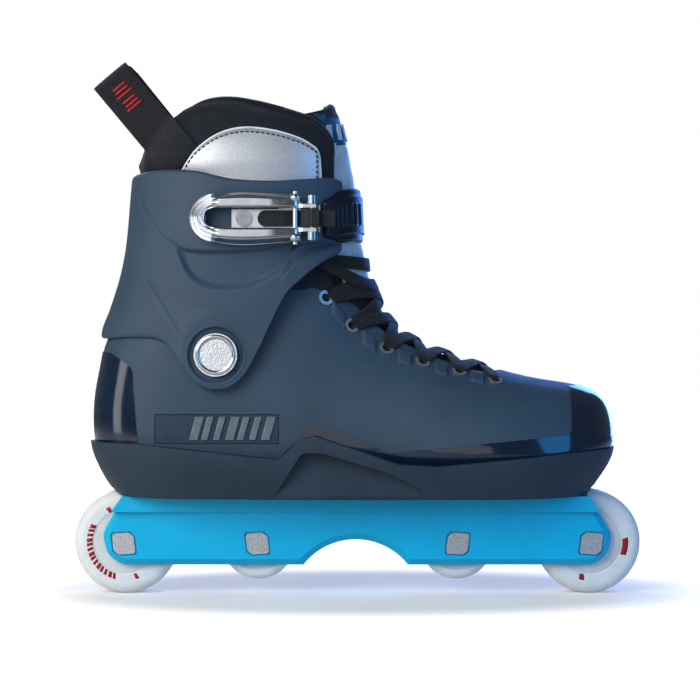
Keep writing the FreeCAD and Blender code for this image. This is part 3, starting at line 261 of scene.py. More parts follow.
def make_finishes():
    made = {}

    def add(name, finish):
        made[name] = finish.material

    shell = Finish("shell_plastic", (0.036, 0.066, 0.098), 0.5).mottle(30, 0.1).uneven_gloss(12, 0.44, 0.54)
    add("shell", shell.grain(0.55, 0.05).pebble(0.9, 0.035))
    cuff = Finish("cuff_plastic", (0.036, 0.066, 0.1), 0.52).mottle(30, 0.1).uneven_gloss(12, 0.46, 0.56)
    add("cuff", cuff.grain(0.5, 0.045).pebble(0.9, 0.03))
    soul = Finish("soul_plastic", (0.022, 0.04, 0.06), 0.55).mottle(25, 0.12).uneven_gloss(10, 0.48, 0.6)
    add("soul", soul.grain(0.6, 0.05))
    gloss = Finish("gloss_navy", (0.002, 0.012, 0.032), 0.12).mottle(20, 0.15).uneven_gloss(25, 0.08, 0.16)
    gloss.set("Specular IOR Level", 0.45)
    gloss.set("Coat Weight", 0.35)
    gloss.set("Coat Roughness", 0.05)
    add("gloss", gloss.grain(6, 0.02))
    add("badge", Finish("badge_plastic", (0.024, 0.044, 0.066), 0.6).mottle(8, 0.15).pebble(0.7, 0.09))
    add("badge_bar", Finish("badge_bar", (0.12, 0.15, 0.18), 0.35, 0.3).mottle(4, 0.12).grain(0.8, 0.02))
    blue = Finish("frame_plastic", (0.0, 0.47, 0.76), 0.34).mottle(35, 0.06).uneven_gloss(9, 0.27, 0.38)
    add("frame", blue.grain(1.2, 0.02))
    urethane = Finish("urethane", (0.8, 0.81, 0.79), 0.38).mottle(7, 0.04).uneven_gloss(6, 0.3, 0.46)
    urethane.set("Subsurface Weight", 0.25)
    urethane.set("Subsurface Radius", (0.004, 0.004, 0.004))
    add("urethane", urethane.grain(1.5, 0.03))
    add("hub", Finish("hub_plastic", (0.72, 0.73, 0.72), 0.35).mottle(6, 0.05).grain(1, 0.02))
    chrome = Finish("chrome", (0.5, 0.52, 0.55), 0.12, 1.0).mottle(6, 0.08).uneven_gloss(5, 0.06, 0.16)
    add("chrome", chrome.grain(3, 0.01))
    drum = Finish("dark_chrome", (0.3, 0.32, 0.35), 0.2, 1.0).mottle(3, 0.1).grain(1, 0.01)
    add("drum", drum)
    steel = Finish("satin_steel", (0.58, 0.6, 0.63), 0.32, 1.0).mottle(4, 0.08).uneven_gloss(2, 0.26, 0.4)
    add("steel", steel.grain(0.8, 0.02))
    add("bearing", Finish("bearing_steel", (0.5, 0.51, 0.53), 0.2, 1.0).mottle(3, 0.06).grain(0.8, 0.01))
    pivot = Finish("pivot_metal", (0.72, 0.74, 0.76), 0.34, 1.0).mottle(0.9, 0.16).uneven_gloss(1, 0.25, 0.5)
    add("pivot", pivot.pebble(0.8, 0.14))
    axle = Finish("blasted_metal", (0.5, 0.52, 0.53), 0.5, 1.0).mottle(0.7, 0.3).uneven_gloss(1, 0.4, 0.65)
    add("axle", axle.pebble(0.7, 0.16))
    add("eyelet", Finish("eyelet_metal", (0.72, 0.74, 0.76), 0.22, 1.0).mottle(2, 0.06).grain(1, 0.01))
    strap = Finish("strap_plastic", (0.006, 0.009, 0.014), 0.38).mottle(8, 0.2).uneven_gloss(6, 0.32, 0.45)
    add("strap", strap.grain(0.6, 0.04))
    add("ladder", Finish("ladder_plastic", (0.01, 0.014, 0.018), 0.5).mottle(4, 0.2).pebble(0.6, 0.08))
    neoprene = Finish("neoprene", (0.006, 0.009, 0.013), 0.72).mottle(5, 0.25)
    neoprene.set("Sheen Weight", 0.12)
    neoprene.set("Sheen Roughness", 0.45)
    add("neoprene", weave(neoprene, (1, 0.2, 0.6), (-0.5, 0.1, 1), 0.6, 0.03).grain(0.3, 0.03))
    roll = Finish("collar_lycra", (0.005, 0.007, 0.01), 0.5).mottle(9, 0.25)
    roll.set("Sheen Weight", 0.08)
    add("lycra", weave(roll, (1, 0, 0.3), (0, 0, 1), 0.4, 0.02))
    grey = Finish("tongue_leather", (0.52, 0.57, 0.62), 0.5).mottle(3, 0.1).uneven_gloss(3, 0.4, 0.58)
    add("tongue_grey", grey.pebble(1.1, 0.1))
    label = Finish("tongue_label", (0.012, 0.075, 0.14), 0.45).mottle(5, 0.12)
    add("label", weave(label, (0, 1, 0), (0.2, 0, 1), 0.5, 0.02))
    add("label_mark", Finish("label_mark", (0.45, 0.52, 0.58), 0.5).mottle(2, 0.1).grain(0.4, 0.02))
    silver = Finish("silver_leather", (0.5, 0.51, 0.52), 0.42, 0.45).mottle(0.9, 0.1)
    add("silver", silver.uneven_gloss(3, 0.36, 0.46).pebble(0.8, 0.06))
    add("silver_edge", Finish("cut_edge", (0.8, 0.8, 0.8), 0.6).mottle(2, 0.05).grain(0.5, 0.03))
    add("thread", Finish("thread", (0.02, 0.022, 0.026), 0.6).mottle(0.6, 0.3).grain(0.25, 0.05))
    webbing = Finish("webbing", (0.008, 0.009, 0.011), 0.6).mottle(2, 0.25)
    webbing.set("Sheen Weight", 0.1)
    add("webbing", webbing.waves((-0.645, 0, 0.764), 1.05, 0.16).waves((0.764, 0, 0.645), 0.8, 0.05))
    add("red_thread", Finish("red_thread", (0.55, 0.02, 0.02), 0.6).mottle(0.8, 0.2).grain(0.3, 0.05))
    lace = Finish("lace_weave", (0.008, 0.009, 0.011), 0.65).mottle(1.2, 0.6)
    lace.set("Sheen Weight", 0.08)
    add("lace", weave(lace, (1, 1, 0.5), (-1, 1, 0.6), 0.9, 0.12).grain(0.5, 0.08))
    add("foam", Finish("foam", (0.03, 0.03, 0.034), 0.85).mottle(3, 0.3).pebble(1.2, 0.2))
    add("footbed", Finish("footbed_felt", (0.04, 0.044, 0.052), 0.9).mottle(2, 0.3).grain(0.5, 0.15))
    add("print_red", Finish("print_red", (0.38, 0.01, 0.018), 0.45).mottle(2, 0.1).grain(0.8, 0.02))
    return made


NODES_BY_FINISH = {
    "shell": "shell",
    "gloss": "heel_guard toe_guard",
    "badge": "side_badges",
    "eyelet": "eyelets",
    "soul": "soul_plate",
    "steel": "soul_screws axle_bolts frame_bolts frame_washers frame_nuts bearing_spacers "
             "strap_rivets buckle_base lever_pin guide_pin",
    "neoprene": "liner_lower liner_upper",
    "foam": "shock_absorber",
    "footbed": "footbed",
    "pivot": "cuff_bolt_lateral cuff_bolt_medial",
    "axle": "axles",
    "frame": "frame",
    "bearing": "bearing_inner_rings",
    "cuff": "cuff",
    "strap": "shin_strap",
    "drum": "buckle_screw guide_drums",
    "ladder": "ladder_strap pawl",
    "tongue_grey": "tongue_upper tongue_lower",
    "silver": "ankle_patches",
    "webbing": "pull_strap",
    "lace": "lace_top laces",
    "chrome": "lever",
}
WHEEL_FINISH = {"tyre": "urethane", "hub": "hub", "bearing_outer_rings": "bearing",
                "bearing_balls": "bearing"}

ROUNDED_NODES = {  # width of the rounded edge in mm: nodes
    0.25: "buckle_base ladder_strap side_badges",
    0.3: "axles axle_bolts pawl heel_guard toe_guard hub_1 hub_2 hub_3 hub_4",
    0.35: "eyelets",
    0.4: "guide_drums",
    0.5: "shin_strap cuff_bolt_lateral cuff_bolt_medial strap_rivets",
    0.7: "soul_plate",
    0.9: "frame",
}


def dress_nodes(finishes):
    """A material on every carried CAD node, and softened edges on the moulded and metal ones."""
    chosen = {node: finish for finish, nodes in NODES_BY_FINISH.items() for node in nodes.split()}
    for part, finish in WHEEL_FINISH.items():
        chosen.update({"%s_%d" % (part, wheel): finish for wheel in range(1, 5)})
    for name, node in NODES.items():
        node.data.materials.clear()
        node.data.materials.append(finishes[chosen[name]])
    for width, names in ROUNDED_NODES.items():
        for name in names.split():
            bevel = NODES[name].modifiers.new("soft_edges", "BEVEL")
            bevel.width = width * MM
            bevel.segments = 2
            bevel.limit_method = "ANGLE"
            bevel.angle_limit = math.radians(38)
            bevel.use_clamp_overlap = True
            bevel.harden_normals = True


# ---------------------------------------------------------------- curves of the boot, as in the CAD

def along(points, at):
    """Smooth line through (position, value) points, flat beyond its ends."""
    if at <= points[0][0]:
        return points[0][1]
    if at >= points[-1][0]:
        return points[-1][1]
    for index in range(len(points) - 1):
        if at <= points[index + 1][0]:
            break
    slopes = []
    for here in (index, index + 1):
        low, high = max(here - 1, 0), min(here + 1, len(points) - 1)
        slopes.append((points[high][1] - points[low][1]) / (points[high][0] - points[low][0]))
    (x0, y0), (x1, y1) = points[index], points[index + 1]
    span = x1 - x0
    t = (at - x0) / span
    return (y0 * (1 + 2 * t) * (1 - t) ** 2 + slopes[0] * span * t * (1 - t) ** 2
            + y1 * t * t * (3 - 2 * t) + slopes[1] * span * t * t * (t - 1))


def smooth(low, high, value):
    t = min(max((value - low) / (high - low), 0), 1)
    return t * t * (3 - 2 * t)


CUFF_REAR = [(100, -141.6), (143, -141.6), (157, -136.8), (175, -131.2), (193, -127.8), (230, -124.4),
             (250, -121), (275, -106)]
CUFF_FRONT = [(100, 40), (131, 38), (150, 30), (175, 13), (200, 0.4), (230, -1.5), (250, -7), (275, -18)]
CUFF_SIDE = [(100, 47.4), (131, 47.0), (175, 46.6), (230, 46.0), (250, 43), (275, 34)]
LINER_REAR = [(140, -128), (160, -123), (186, -120.3), (226, -117.5), (232, -120.3), (240, -119.3),
              (246, -116.9), (257, -109.5), (272, -98)]
LINER_FRONT = [(140, 14), (160, 6), (186, 0), (200, -1.5), (226, -2.5), (244, -3), (258, -7), (272, -14)]
LINER_SIDE = [(140, 34), (160, 34.5), (186, 37), (226, 37.6), (236, 38.4), (246, 36.8), (256, 33.5),
              (272, 28.5)]
CUFF = (CUFF_REAR, CUFF_FRONT, CUFF_SIDE)
LINER = (LINER_REAR, LINER_FRONT, LINER_SIDE)
RING_POWER = 2.4
PIVOT_X, PIVOT_Z = -75.4, 131.4


def ring_size(ring, height, grow):
    rear, front = along(ring[0], height) - grow, along(ring[1], height) + grow
    return (rear + front) / 2, (front - rear) / 2, along(ring[2], height) + grow


def ring_point(ring, angle, height, grow=0.0):
    """A point on a ring-shaped outline: angle 0 at the rear, negative on the lateral side."""
    middle, reach, side = ring_size(ring, height, grow)
    c, s = math.cos(angle), math.sin(angle)
    power = 2 / RING_POWER
    x = middle - reach * math.copysign(abs(c) ** power, c)
    y = side * math.copysign(abs(s) ** power, s)
    return x, y, height


def ring_angle(ring, x, height, grow=0.0):
    """The angle at which an outline passes a place along the boot."""
    middle, reach, _ = ring_size(ring, height, grow)
    share = min(max((middle - x) / reach, -1), 1)
    return math.acos(math.copysign(abs(share) ** (RING_POWER / 2), share))



# ---------------------------------------------------------------- mesh building

def new_object(name, verts, faces, finish, face_finish=None):
    mesh = bpy.data.meshes.new(name)
    mesh.from_pydata([Vector(v) * MM for v in verts], [], faces)
    mesh.validate()
    mesh.update()
    for item in (finish if isinstance(finish, list) else [finish]):
        mesh.materials.append(item)
    for polygon in mesh.polygons:
        polygon.use_smooth = True
        if face_finish:
            polygon.material_index = face_finish[polygon.index]
    piece = bpy.data.objects.new(name, mesh)
    bpy.context.collection.objects.link(piece)
    face_out(piece)
    return piece


def face_out(piece):
    work = bmesh.new()
    work.from_mesh(piece.data)
    bmesh.ops.remove_doubles(work, verts=work.verts, dist=1e-7)
    bmesh.ops.recalc_face_normals(work, faces=work.faces)
    work.to_mesh(piece.data)
    work.free()


def grid_faces(rows, columns, wrap_rows=False, wrap_columns=False, offset=0):
    faces = []
    for i in range(rows if wrap_rows else rows - 1):
        for j in range(columns if wrap_columns else columns - 1):
            a, b = i, (i + 1) % rows
            c, d = j, (j + 1) % columns
            faces.append((offset + a * columns + c, offset + a * columns + d,
                          offset + b * columns + d, offset + b * columns + c))
    return faces


def closed_sweep(loops):
    """Vertices and faces of loops of equal length joined in a row, with both ends filled."""
    verts = [v for loop in loops for v in loop]
    count = len(loops[0])
    faces = grid_faces(len(loops), count, wrap_columns=True)
    faces.append(tuple(range(count)))
    faces.append(tuple(range(len(verts) - count, len(verts))))
    return verts, faces


def wall_section(point, low, high, thick, rows, lip_steps=5, inset=0.0):
    """A closed loop round a wall: up its outer face, over the rim, down its inner face.

    point(height, grow) gives a place on the wall; inset narrows the wall evenly from both faces.
    """
    out, inn = -inset, -thick + inset
    radius = (out - inn) / 2
    loop = [point(low + radius + (high - low - 2 * radius) * i / (rows - 1), out) for i in range(rows)]
    for step in range(1, lip_steps):
        turn = math.pi * step / lip_steps
        loop.append(point(high - radius + radius * math.sin(turn), out - radius * (1 - math.cos(turn))))
    loop += [point(high - radius - (high - low - 2 * radius) * i / (rows - 1), inn) for i in range(rows)]
    for step in range(1, lip_steps):
        turn = math.pi * step / lip_steps
        loop.append(point(low + radius - radius * math.sin(turn), inn + radius * (1 - math.cos(turn))))
    return loop



def end_taper(index, last, steps):
    """How much a wall narrows at its first and last few columns, which rounds its ends."""
    from_end = min(index, last - index)
    return steps[from_end] if from_end < len(steps) else 0.0


def tube(path, radius, sides=6):
    """A thin round thread through points."""
    loops = []
    for index, point in enumerate(path):
        before, after = Vector(path[max(index - 1, 0)]), Vector(path[min(index + 1, len(path) - 1)])
        heading = (after - before).normalized()
        first = heading.cross(Vector((0.3, 0.2, 1))).normalized()
        second = heading.cross(first)
        loops.append([Vector(point) + first * (radius * math.cos(2 * math.pi * k / sides))
                      + second * (radius * math.sin(2 * math.pi * k / sides)) for k in range(sides)])
    verts, faces = closed_sweep(loops)
    return verts, faces


def joined(parts):
    """One vertex and face list from several."""
    verts, faces = [], []
    for more_verts, more_faces in parts:
        base = len(verts)
        verts += list(more_verts)
        faces += [tuple(base + i for i in face) for face in more_faces]
    return verts, faces


def stitches(path, pitch, length, radius):
    """Short threads laid end to end along a path of points."""
    path = [Vector(p) for p in path]
    distance, marks = 0.0, [0.0]
    for a, b in zip(path, path[1:]):
        distance += (b - a).length
        marks.append(distance)

    def at(where):
        for index in range(len(path) - 1):
            if where <= marks[index + 1]:
                share = (where - marks[index]) / max(marks[index + 1] - marks[index], 1e-6)
                return path[index].lerp(path[index + 1], share)
        return path[-1]
    parts, start = [], pitch / 2
    while start + length < distance:
        points = [at(start + length * k / 4) for k in range(5)]
        parts.append(tube(points, radius))
        start += pitch
    return joined(parts)


def settle_fabric(piece, held_below, pressure, cap):
    """Lets a padded piece puff out and wrinkle a little as cloth, held below a height."""
    mesh, scene = piece.data, bpy.context.scene
    start = [vertex.co.copy() for vertex in mesh.vertices]
    held = piece.vertex_groups.new(name="held")
    held.add([vertex.index for vertex in mesh.vertices if vertex.co.z < held_below * MM], 1.0, "REPLACE")
    cloth = piece.modifiers.new("cloth", "CLOTH")
    cloth.settings.vertex_group_mass = "held"
    cloth.settings.use_pressure = True
    cloth.settings.uniform_pressure_force = pressure
    cloth.settings.effector_weights.gravity = 0
    cloth.point_cache.frame_start, cloth.point_cache.frame_end = 1, 20
    for moment in range(1, 21):
        scene.frame_set(moment)
    settled = piece.evaluated_get(bpy.context.evaluated_depsgraph_get()).data
    ends = [vertex.co.copy() for vertex in settled.vertices]
    piece.modifiers.remove(cloth)
    for vertex, before, after in zip(mesh.vertices, start, ends):
        moved = after - before
        if moved.length > cap * MM:
            moved *= cap * MM / moved.length
        vertex.co = before + moved
    mesh.update()
    scene.frame_set(1)


# ---------------------------------------------------------------- cuff

CUFF_LOW = [(-142, 140.3), (-112, 140.3), (-104.5, 138.2), (-98.5, 132), (-91, 121.5), (-84, 114.9),
            (-75.4, 112.7), (-66.8, 114.9), (-59.8, 121.5), (-54.2, 131), (-39.7, 161), (-33, 168.5),
            (-20.7, 178.8), (-7.2, 186.8)]
CUFF_TOP = [(-125, 229.2), (-112, 230.3), (-104, 230.7), (-86, 229.4), (-76, 227), (-66, 225), (-46, 224.1),
            (-25, 225.6), (-13, 226.8), (-8, 225.6)]
CUFF_EDGE = -7.6
CREASE = [(-122, 226), (-114.5, 212), (-105, 196.6), (-97, 190.6), (-90.6, 187.6), (-76, 186.6), (-56, 187.4),
          (-36, 190.4), (-6.7, 193)]
SCOOP = [(-97, 186), (-90.5, 173.2), (-82.6, 166.9), (-70.4, 164.6), (-56, 166.4), (-46, 171), (-25.3, 183),
         (-7.3, 191)]
REAR_SEAM = [(134.5, -90), (150, -99.5), (171, -112.5), (176, -114.5)]
BOSS_RADIUS, BOSS_FADE = 17.0, 10
BOSS_FACE, BOSS_DISH = 46.4, 3.0


def cuff_relief(x, height):
    """How far the cuff's outer face stands out of its plain form."""
    depth = 0.0
    if -124 < x < -4:
        crease, scoop = along(CREASE, x), along(SCOOP, x)
        inside = smooth(0.0, 1.4, crease - height) * smooth(0.0, 5.5, height - scoop)
        depth -= 2.6 * inside * smooth(-99, -91, x)
        depth += 0.7 * smooth(-0.5, 0.6, height - crease) * smooth(-124, -119, x)
    if 138 < height < 176:
        seam = along(REAR_SEAM, height)
        strength = smooth(138, 142, height) * smooth(176, 168, height)
        depth -= 0.75 * math.exp(-((x - seam) / 0.9) ** 2) * strength
        depth += 0.6 * smooth(-1.5, 0.5, x - seam) * (1 - smooth(2, 26, x - seam)) * strength
    return depth


def cuff_surface(angle, height, grow, thick):
    """A point of the cuff with its relief and its boss round the pivot; grow 0 is the outer face."""
    x, y, z = ring_point(CUFF, angle, height, grow)
    outer = 1 + grow / thick
    from_pivot = math.hypot(x - PIVOT_X, z - PIVOT_Z)
    if outer > 0.5 and abs(y) > 20:
        boss = 1 - smooth(BOSS_RADIUS, BOSS_RADIUS + BOSS_FADE, from_pivot)
        y += boss * (math.copysign(BOSS_FACE, y) - y) * outer
        y -= math.copysign(BOSS_DISH, y) * (1 - smooth(14.7, 15.1, from_pivot)) * outer
    clear = 1 - smooth(BOSS_RADIUS + BOSS_FADE, BOSS_RADIUS, from_pivot)
    relief = cuff_relief(x, z) * max(outer, 0) * clear
    middle = ring_size(CUFF, height, grow)[0]
    outward = Vector(((x - middle) * 0.35, y, 0))
    if outward.length > 1e-6:
        outward.normalize()
    return x + outward.x * relief, y + outward.y * relief, z


def solve_height(ring, edge, share, line, low, high):
    """The height where a column of a ring-shaped wall meets a side-view line."""
    for _ in range(36):
        middle = (low + high) / 2
        x = ring_point(ring, share * ring_angle(ring, edge, middle), middle)[0]
        if middle > along(line, x):
            high = middle
        else:
            low = middle
    return (low + high) / 2


def make_cuff(finishes):
    thick, columns, rows = 3.6, 430, 150
    loops = []
    for column in range(columns + 1):
        share = -1 + 2 * column / columns
        low = solve_height(CUFF, CUFF_EDGE, share, CUFF_LOW, 105, 192)
        high = solve_height(CUFF, CUFF_EDGE, share, CUFF_TOP, 200, 235)
        end_round = end_taper(column, columns, (1.3, 0.6, 0.25, 0.08))

        def point(height, grow):
            return cuff_surface(share * ring_angle(CUFF, CUFF_EDGE, height), height, grow, thick)
        loops.append(wall_section(point, low + end_round, high - end_round, thick, rows, 5, end_round))
    piece = new_object("cuff_moulding", *closed_sweep(loops), finishes["cuff"])
    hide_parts("cuff")
    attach(piece, "cuff")
    return piece


PIVOT_SEAT = [(8.2, 43.0), (8.2, 44.3), (13.2, 44.3), (14.2, 44.6), (14.55, 45.4), (14.7, 46.2),
              (15.1, 46.62), (15.9, 46.55), (16.8, 46.3), (17.2, 45.6), (17.2, 43.2), (8.2, 43.0)]
BOLT_RIM = [(8.3, 47.3), (8.7, 47.75), (9.5, 47.95), (10.3, 47.9), (11.0, 47.5), (11.35, 46.7), (11.35, 45.6),
            (8.3, 45.6), (8.3, 47.3)]


def lathe(profile, side, steps=96):
    """A ring turned about the cuff's pivot: profile is (radius, distance from the middle plane)."""
    verts = []
    for step in range(steps):
        turn = 2 * math.pi * step / steps
        c, s = math.cos(turn), math.sin(turn)
        verts += [(PIVOT_X + radius * c, side * depth, PIVOT_Z + radius * s) for radius, depth in profile]
    return verts, grid_faces(steps, len(profile), wrap_rows=True)


def make_pivot_seats(finishes):
    """The dished ring moulded round each pivot bolt, and the rim of each bolt's head."""
    for side, word in ((-1, "lateral"), (1, "medial")):
        seat = new_object("pivot_seat_" + word, *lathe(PIVOT_SEAT, side), finishes["cuff"])
        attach(seat, "cuff")
        ring = new_object("bolt_rim_" + word, *lathe(BOLT_RIM, side), finishes["chrome"])
        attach(ring, "boot")


# ---------------------------------------------------------------- liner collar

COLLAR_TOP = [(-120.5, 236), (-116.7, 246.5), (-109, 256.5), (-98, 263.2), (-84, 270.5), (-70.6, 272),
              (-54, 269.8), (-42, 267), (-31, 264), (-21, 260), (-14.5, 253), (-11, 244.5), (-10.5, 237)]
COLLAR_EDGE = -10.8
LINER_THICK = 6.5
ROLL_DEPTH = 6.2
FABRIC_HELD_BELOW, FABRIC_PRESSURE, FABRIC_CAP = 232, 4.0, 0.6


def liner_surface(share, height, grow, top):
    """A point of the liner, with the padded roll under its rim and the groove of the seam below it."""
    angle = share * ring_angle(LINER, COLLAR_EDGE, height)
    below = top - height
    outer = smooth(-LINER_THICK, 0, grow)
    puff = 0.9 * math.exp(-((below - 3.0) / 2.6) ** 2) - 1.3 * math.exp(-((below - ROLL_DEPTH) / 0.8) ** 2)
    crumple = 0.45 * noise.noise(Vector((angle * 6, height * 0.06, 2.0)))
    return ring_point(LINER, angle, height, grow + (puff + crumple) * outer)


def liner_side(x, height):
    """How far out the liner's face is at a place, seen from the side."""
    return ring_point(LINER, ring_angle(LINER, x, height), height)[1]


def make_liner(finishes):
    columns, rows = 170, 74
    loops, tops = [], []
    for column in range(columns + 1):
        share = -1 + 2 * column / columns
        high = solve_height(LINER, COLLAR_EDGE, share, COLLAR_TOP, 200, 280)
        tops.append(high)

        def point(height, grow):
            return liner_surface(share, height, grow, high)
        end_round = end_taper(column, columns, (2.4, 1.3, 0.6, 0.2))
        loops.append(wall_section(point, 140, high, LINER_THICK, rows, 8, end_round))
    verts, faces = closed_sweep(loops)
    per_loop = len(loops[0])
    face_finish = []
    for face in faces:
        if len(face) != 4:
            face_finish.append(0)
            continue
        top = tops[min(face[0] // per_loop, columns)]
        face_finish.append(1 if top - verts[face[0]][2] < ROLL_DEPTH else 0)
    piece = new_object("liner", verts, faces, [finishes["neoprene"], finishes["lycra"]], face_finish)
    settle_fabric(piece, FABRIC_HELD_BELOW, FABRIC_PRESSURE, FABRIC_CAP)
    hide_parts("liner_upper")
    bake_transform(piece)
    seam_parts = []
    for side in (-1, 1):
        path = []
        for column in range(4, columns - 3):
            share = -1 + 2 * column / columns
            if share * side > 0.02:
                x, y, z = liner_surface(share, tops[column] - 7.6, 0.55, tops[column])
                path.append((x, y, z))
        seam_parts.append(stitches(path, 2.6, 1.7, 0.28))
    seam = new_object("collar_stitching", *joined(seam_parts), finishes["thread"])
    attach(seam, "cuff")
    return piece


PATCH_TOP = [(-97, 226), (-93.9, 231.2), (-86.9, 241.4), (-75.7, 249.9), (-63.4, 253.7), (-49.5, 253.1),
             (-34.6, 249.4), (-24.9, 244.6), (-20.6, 238.7), (-19.6, 226)]
PATCH_ENDS = (-96.6, -19.8)


def make_patches(finishes):
    """Silver panel on each side of the liner, with a white cut edge and a dashed seam."""
    for side, word in ((-1, "lateral"), (1, "medial")):
        columns, rows = 90, 40
        loops = []
        x_low, x_high = PATCH_ENDS

        def surface(x, height, lift):
            px, py, pz = ring_point(LINER, ring_angle(LINER, x, height), height, lift)
            return px, side * py, pz
        for column in range(columns + 1):
            x = x_low + (x_high - x_low) * (1 - math.cos(math.pi * column / columns)) / 2
            top, bottom = along(PATCH_TOP, x), 214.0
            puff = 0.35 * math.sin(math.pi * column / columns)
            loop = []
            for row in range(rows + 1):
                height = top - (top - bottom) * (1 - row / rows) ** 1.6
                edge = smooth(0, 3.2, top - height) * smooth(0, 3.5, min(x - x_low + 0.4, x_high - x + 0.4))
                loop.append(surface(x, height, 0.7 + 0.5 * edge + puff * edge))
            loop += [surface(x, top - (top - bottom) * (row / rows) ** 1.6, -0.6) for row in range(rows + 1)]
            loops.append(loop)
        verts, faces = closed_sweep(loops)
        per_loop = len(loops[0])
        face_finish = []
        for face in faces:
            column, spot = divmod(face[0], per_loop)
            x, _, height = verts[face[0]]
            rim = along(PATCH_TOP, x) - height < 1.0 or x - x_low < 0.9 or x_high - x < 1.1
            face_finish.append(1 if len(face) == 4 and spot < rows and rim else 0)
        patch = new_object("ankle_patch_" + word, verts, faces, [finishes["silver"], finishes["silver_edge"]],
                           face_finish)
        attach(patch, "cuff")
        if side == -1:
            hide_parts("ankle_patches")
        path = []
        for step in range(120):
            x = x_low + 3 + (x_high - x_low - 6) * step / 119
            path.append(surface(x, along(PATCH_TOP, x) - 3.0, 1.55))
        path += [surface(x_high - 3, along(PATCH_TOP, x_high - 3) - 3 - step, 1.55) for step in range(1, 16)]
        seam = new_object("patch_stitching_" + word, *stitches(path, 2.8, 1.7, 0.42), finishes["thread"])
        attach(seam, "cuff")


# ---------------------------------------------------------------- tongue

TONGUE_LINE = [(-18, 271.8), (-13, 270.3), (-11.2, 266.5), (-9.1, 261.3), (-5.8, 249.1), (-3.8, 238),
               (-1.9, 225.7), (-1.2, 218), (-0.2, 206), (1.0, 196), (3.0, 189), (4.6, 181), (5.9, 175.7),
               (8.3, 168), (12, 158.6), (19, 147.2), (29, 139.9), (42.2, 133.7), (57.3, 128.4),
               (73.4, 122.9), (83.4, 119.4)]


def tongue_frame(share):
    """A point of the tongue's front line and the outward direction there; share 0 at the top."""
    spot = share * (len(TONGUE_LINE) - 1)
    numbered_x = [(i, p[0]) for i, p in enumerate(TONGUE_LINE)]
    numbered_z = [(i, p[1]) for i, p in enumerate(TONGUE_LINE)]

    def at(value):
        return Vector((along(numbered_x, value), 0, along(numbered_z, value)))
    heading = (at(min(spot + 0.2, len(TONGUE_LINE) - 1)) - at(max(spot - 0.2, 0))).normalized()
    outward = Vector((-heading.z, 0, heading.x))
    return at(spot), outward


TONGUE_BEND = [(0, 0.027), (0.15, 0.027), (0.3, 0.026), (0.7, 0.026), (0.8, 0.021), (1, 0.016)]
TONGUE_HALF = [(0, 23), (0.05, 28), (0.15, 28), (0.3, 27), (0.6, 27), (0.74, 24), (0.85, 20.2), (1, 18.5)]
LABEL_FOOT, LABEL_HEAD, LABEL_HALF, GREY_FOOT = 247.5, 262.5, 22, 166


def tongue_point(share, y, grow):
    """A point y from the middle of the tongue, grow in front of its face."""
    centre, outward = tongue_frame(share)
    bend = along(TONGUE_BEND, share)
    across = Vector((0, y, 0))
    lean = Vector((outward.x, -math.copysign(2 * bend * abs(y), y) * -1, outward.z)).normalized()
    return centre + across - outward * (bend * y * y) + lean * grow


def make_tongue(finishes):
    rows, columns, thick = 150, 44, 7.0
    loops = []
    for row in range(rows + 1):
        share = row / rows
        half = along(TONGUE_HALF, share)
        end_round = 2.2 * (1 - smooth(0, 0.03, share)) + 2.2 * smooth(0.985, 1, share)
        loop = []
        for column in range(columns + 1):
            y = -half + 2 * half * column / columns
            rim = math.sqrt(max(1 - (abs(y) / half) ** 6, 0))
            centre = tongue_frame(share)[0]
            soft = 0.5 * noise.noise(Vector((y * 0.11, share * 17, 4.0)))
            binding = 0.7 * math.exp(-((half - abs(y) - 2.0) / 1.6) ** 2)
            label_edge = -0.5 * math.exp(-((centre.z - LABEL_FOOT) / 0.7) ** 2)
            loop.append(tongue_point(share, y, -thick / 2 + (thick / 2 - end_round) * rim
                                     + (soft + binding + label_edge) * rim))
        for column in range(columns, -1, -1):
            y = -half + 2 * half * column / columns
            rim = math.sqrt(max(1 - (abs(y) / half) ** 6, 0))
            loop.append(tongue_point(share, y, -thick / 2 - (thick / 2 - end_round) * rim))
        loops.append(loop)
    verts, faces = closed_sweep(loops)
    per_loop = len(loops[0])
    face_finish = []
    for face in faces:
        row, spot = divmod(face[0], per_loop)
        height = verts[face[0]][2]
        front = spot <= columns
        edge = abs(spot - columns / 2) > columns / 2 - 3
        if not front or edge or len(face) != 4 or height > LABEL_HEAD:
            face_finish.append(1)
        elif height > LABEL_FOOT:
            face_finish.append(2 if abs(verts[face[0]][1]) < LABEL_HALF else 1)
        elif height < GREY_FOOT:
            face_finish.append(1)
        else:
            face_finish.append(0)
    fabrics = [finishes["tongue_grey"], finishes["neoprene"], finishes["label"]]
    piece = new_object("tongue", verts, faces, fabrics, face_finish)
    settle_fabric(piece, FABRIC_HELD_BELOW, FABRIC_PRESSURE, FABRIC_CAP)
    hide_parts("tongue_upper", "tongue_lower")
    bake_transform(piece)
    marks = []
    for centre_y in (-18, -11, -4, 4, 11, 18):
        corners = []
        for u, v in ((-2.6, -4.2), (0.8, -4.2), (2.6, 4.2), (-0.8, 4.2)):
            corners.append(tongue_point(0.178 - v * 0.0041, centre_y + u, 0.7))
        marks.append((corners, [(0, 1, 2, 3)]))
    label = new_object("label_bars", *joined(marks), finishes["label_mark"])
    thickness = label.modifiers.new("thickness", "SOLIDIFY")
    thickness.thickness = 0.5 * MM
    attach(label, "cuff")
    return piece


# ---------------------------------------------------------------- pull strap

STRAP_FOOT = Vector((-103.5, 0, 246))
STRAP_RISE = Vector((-0.645, 0, 0.764))
STRAP_ACROSS = Vector((0.764, 0, 0.645))


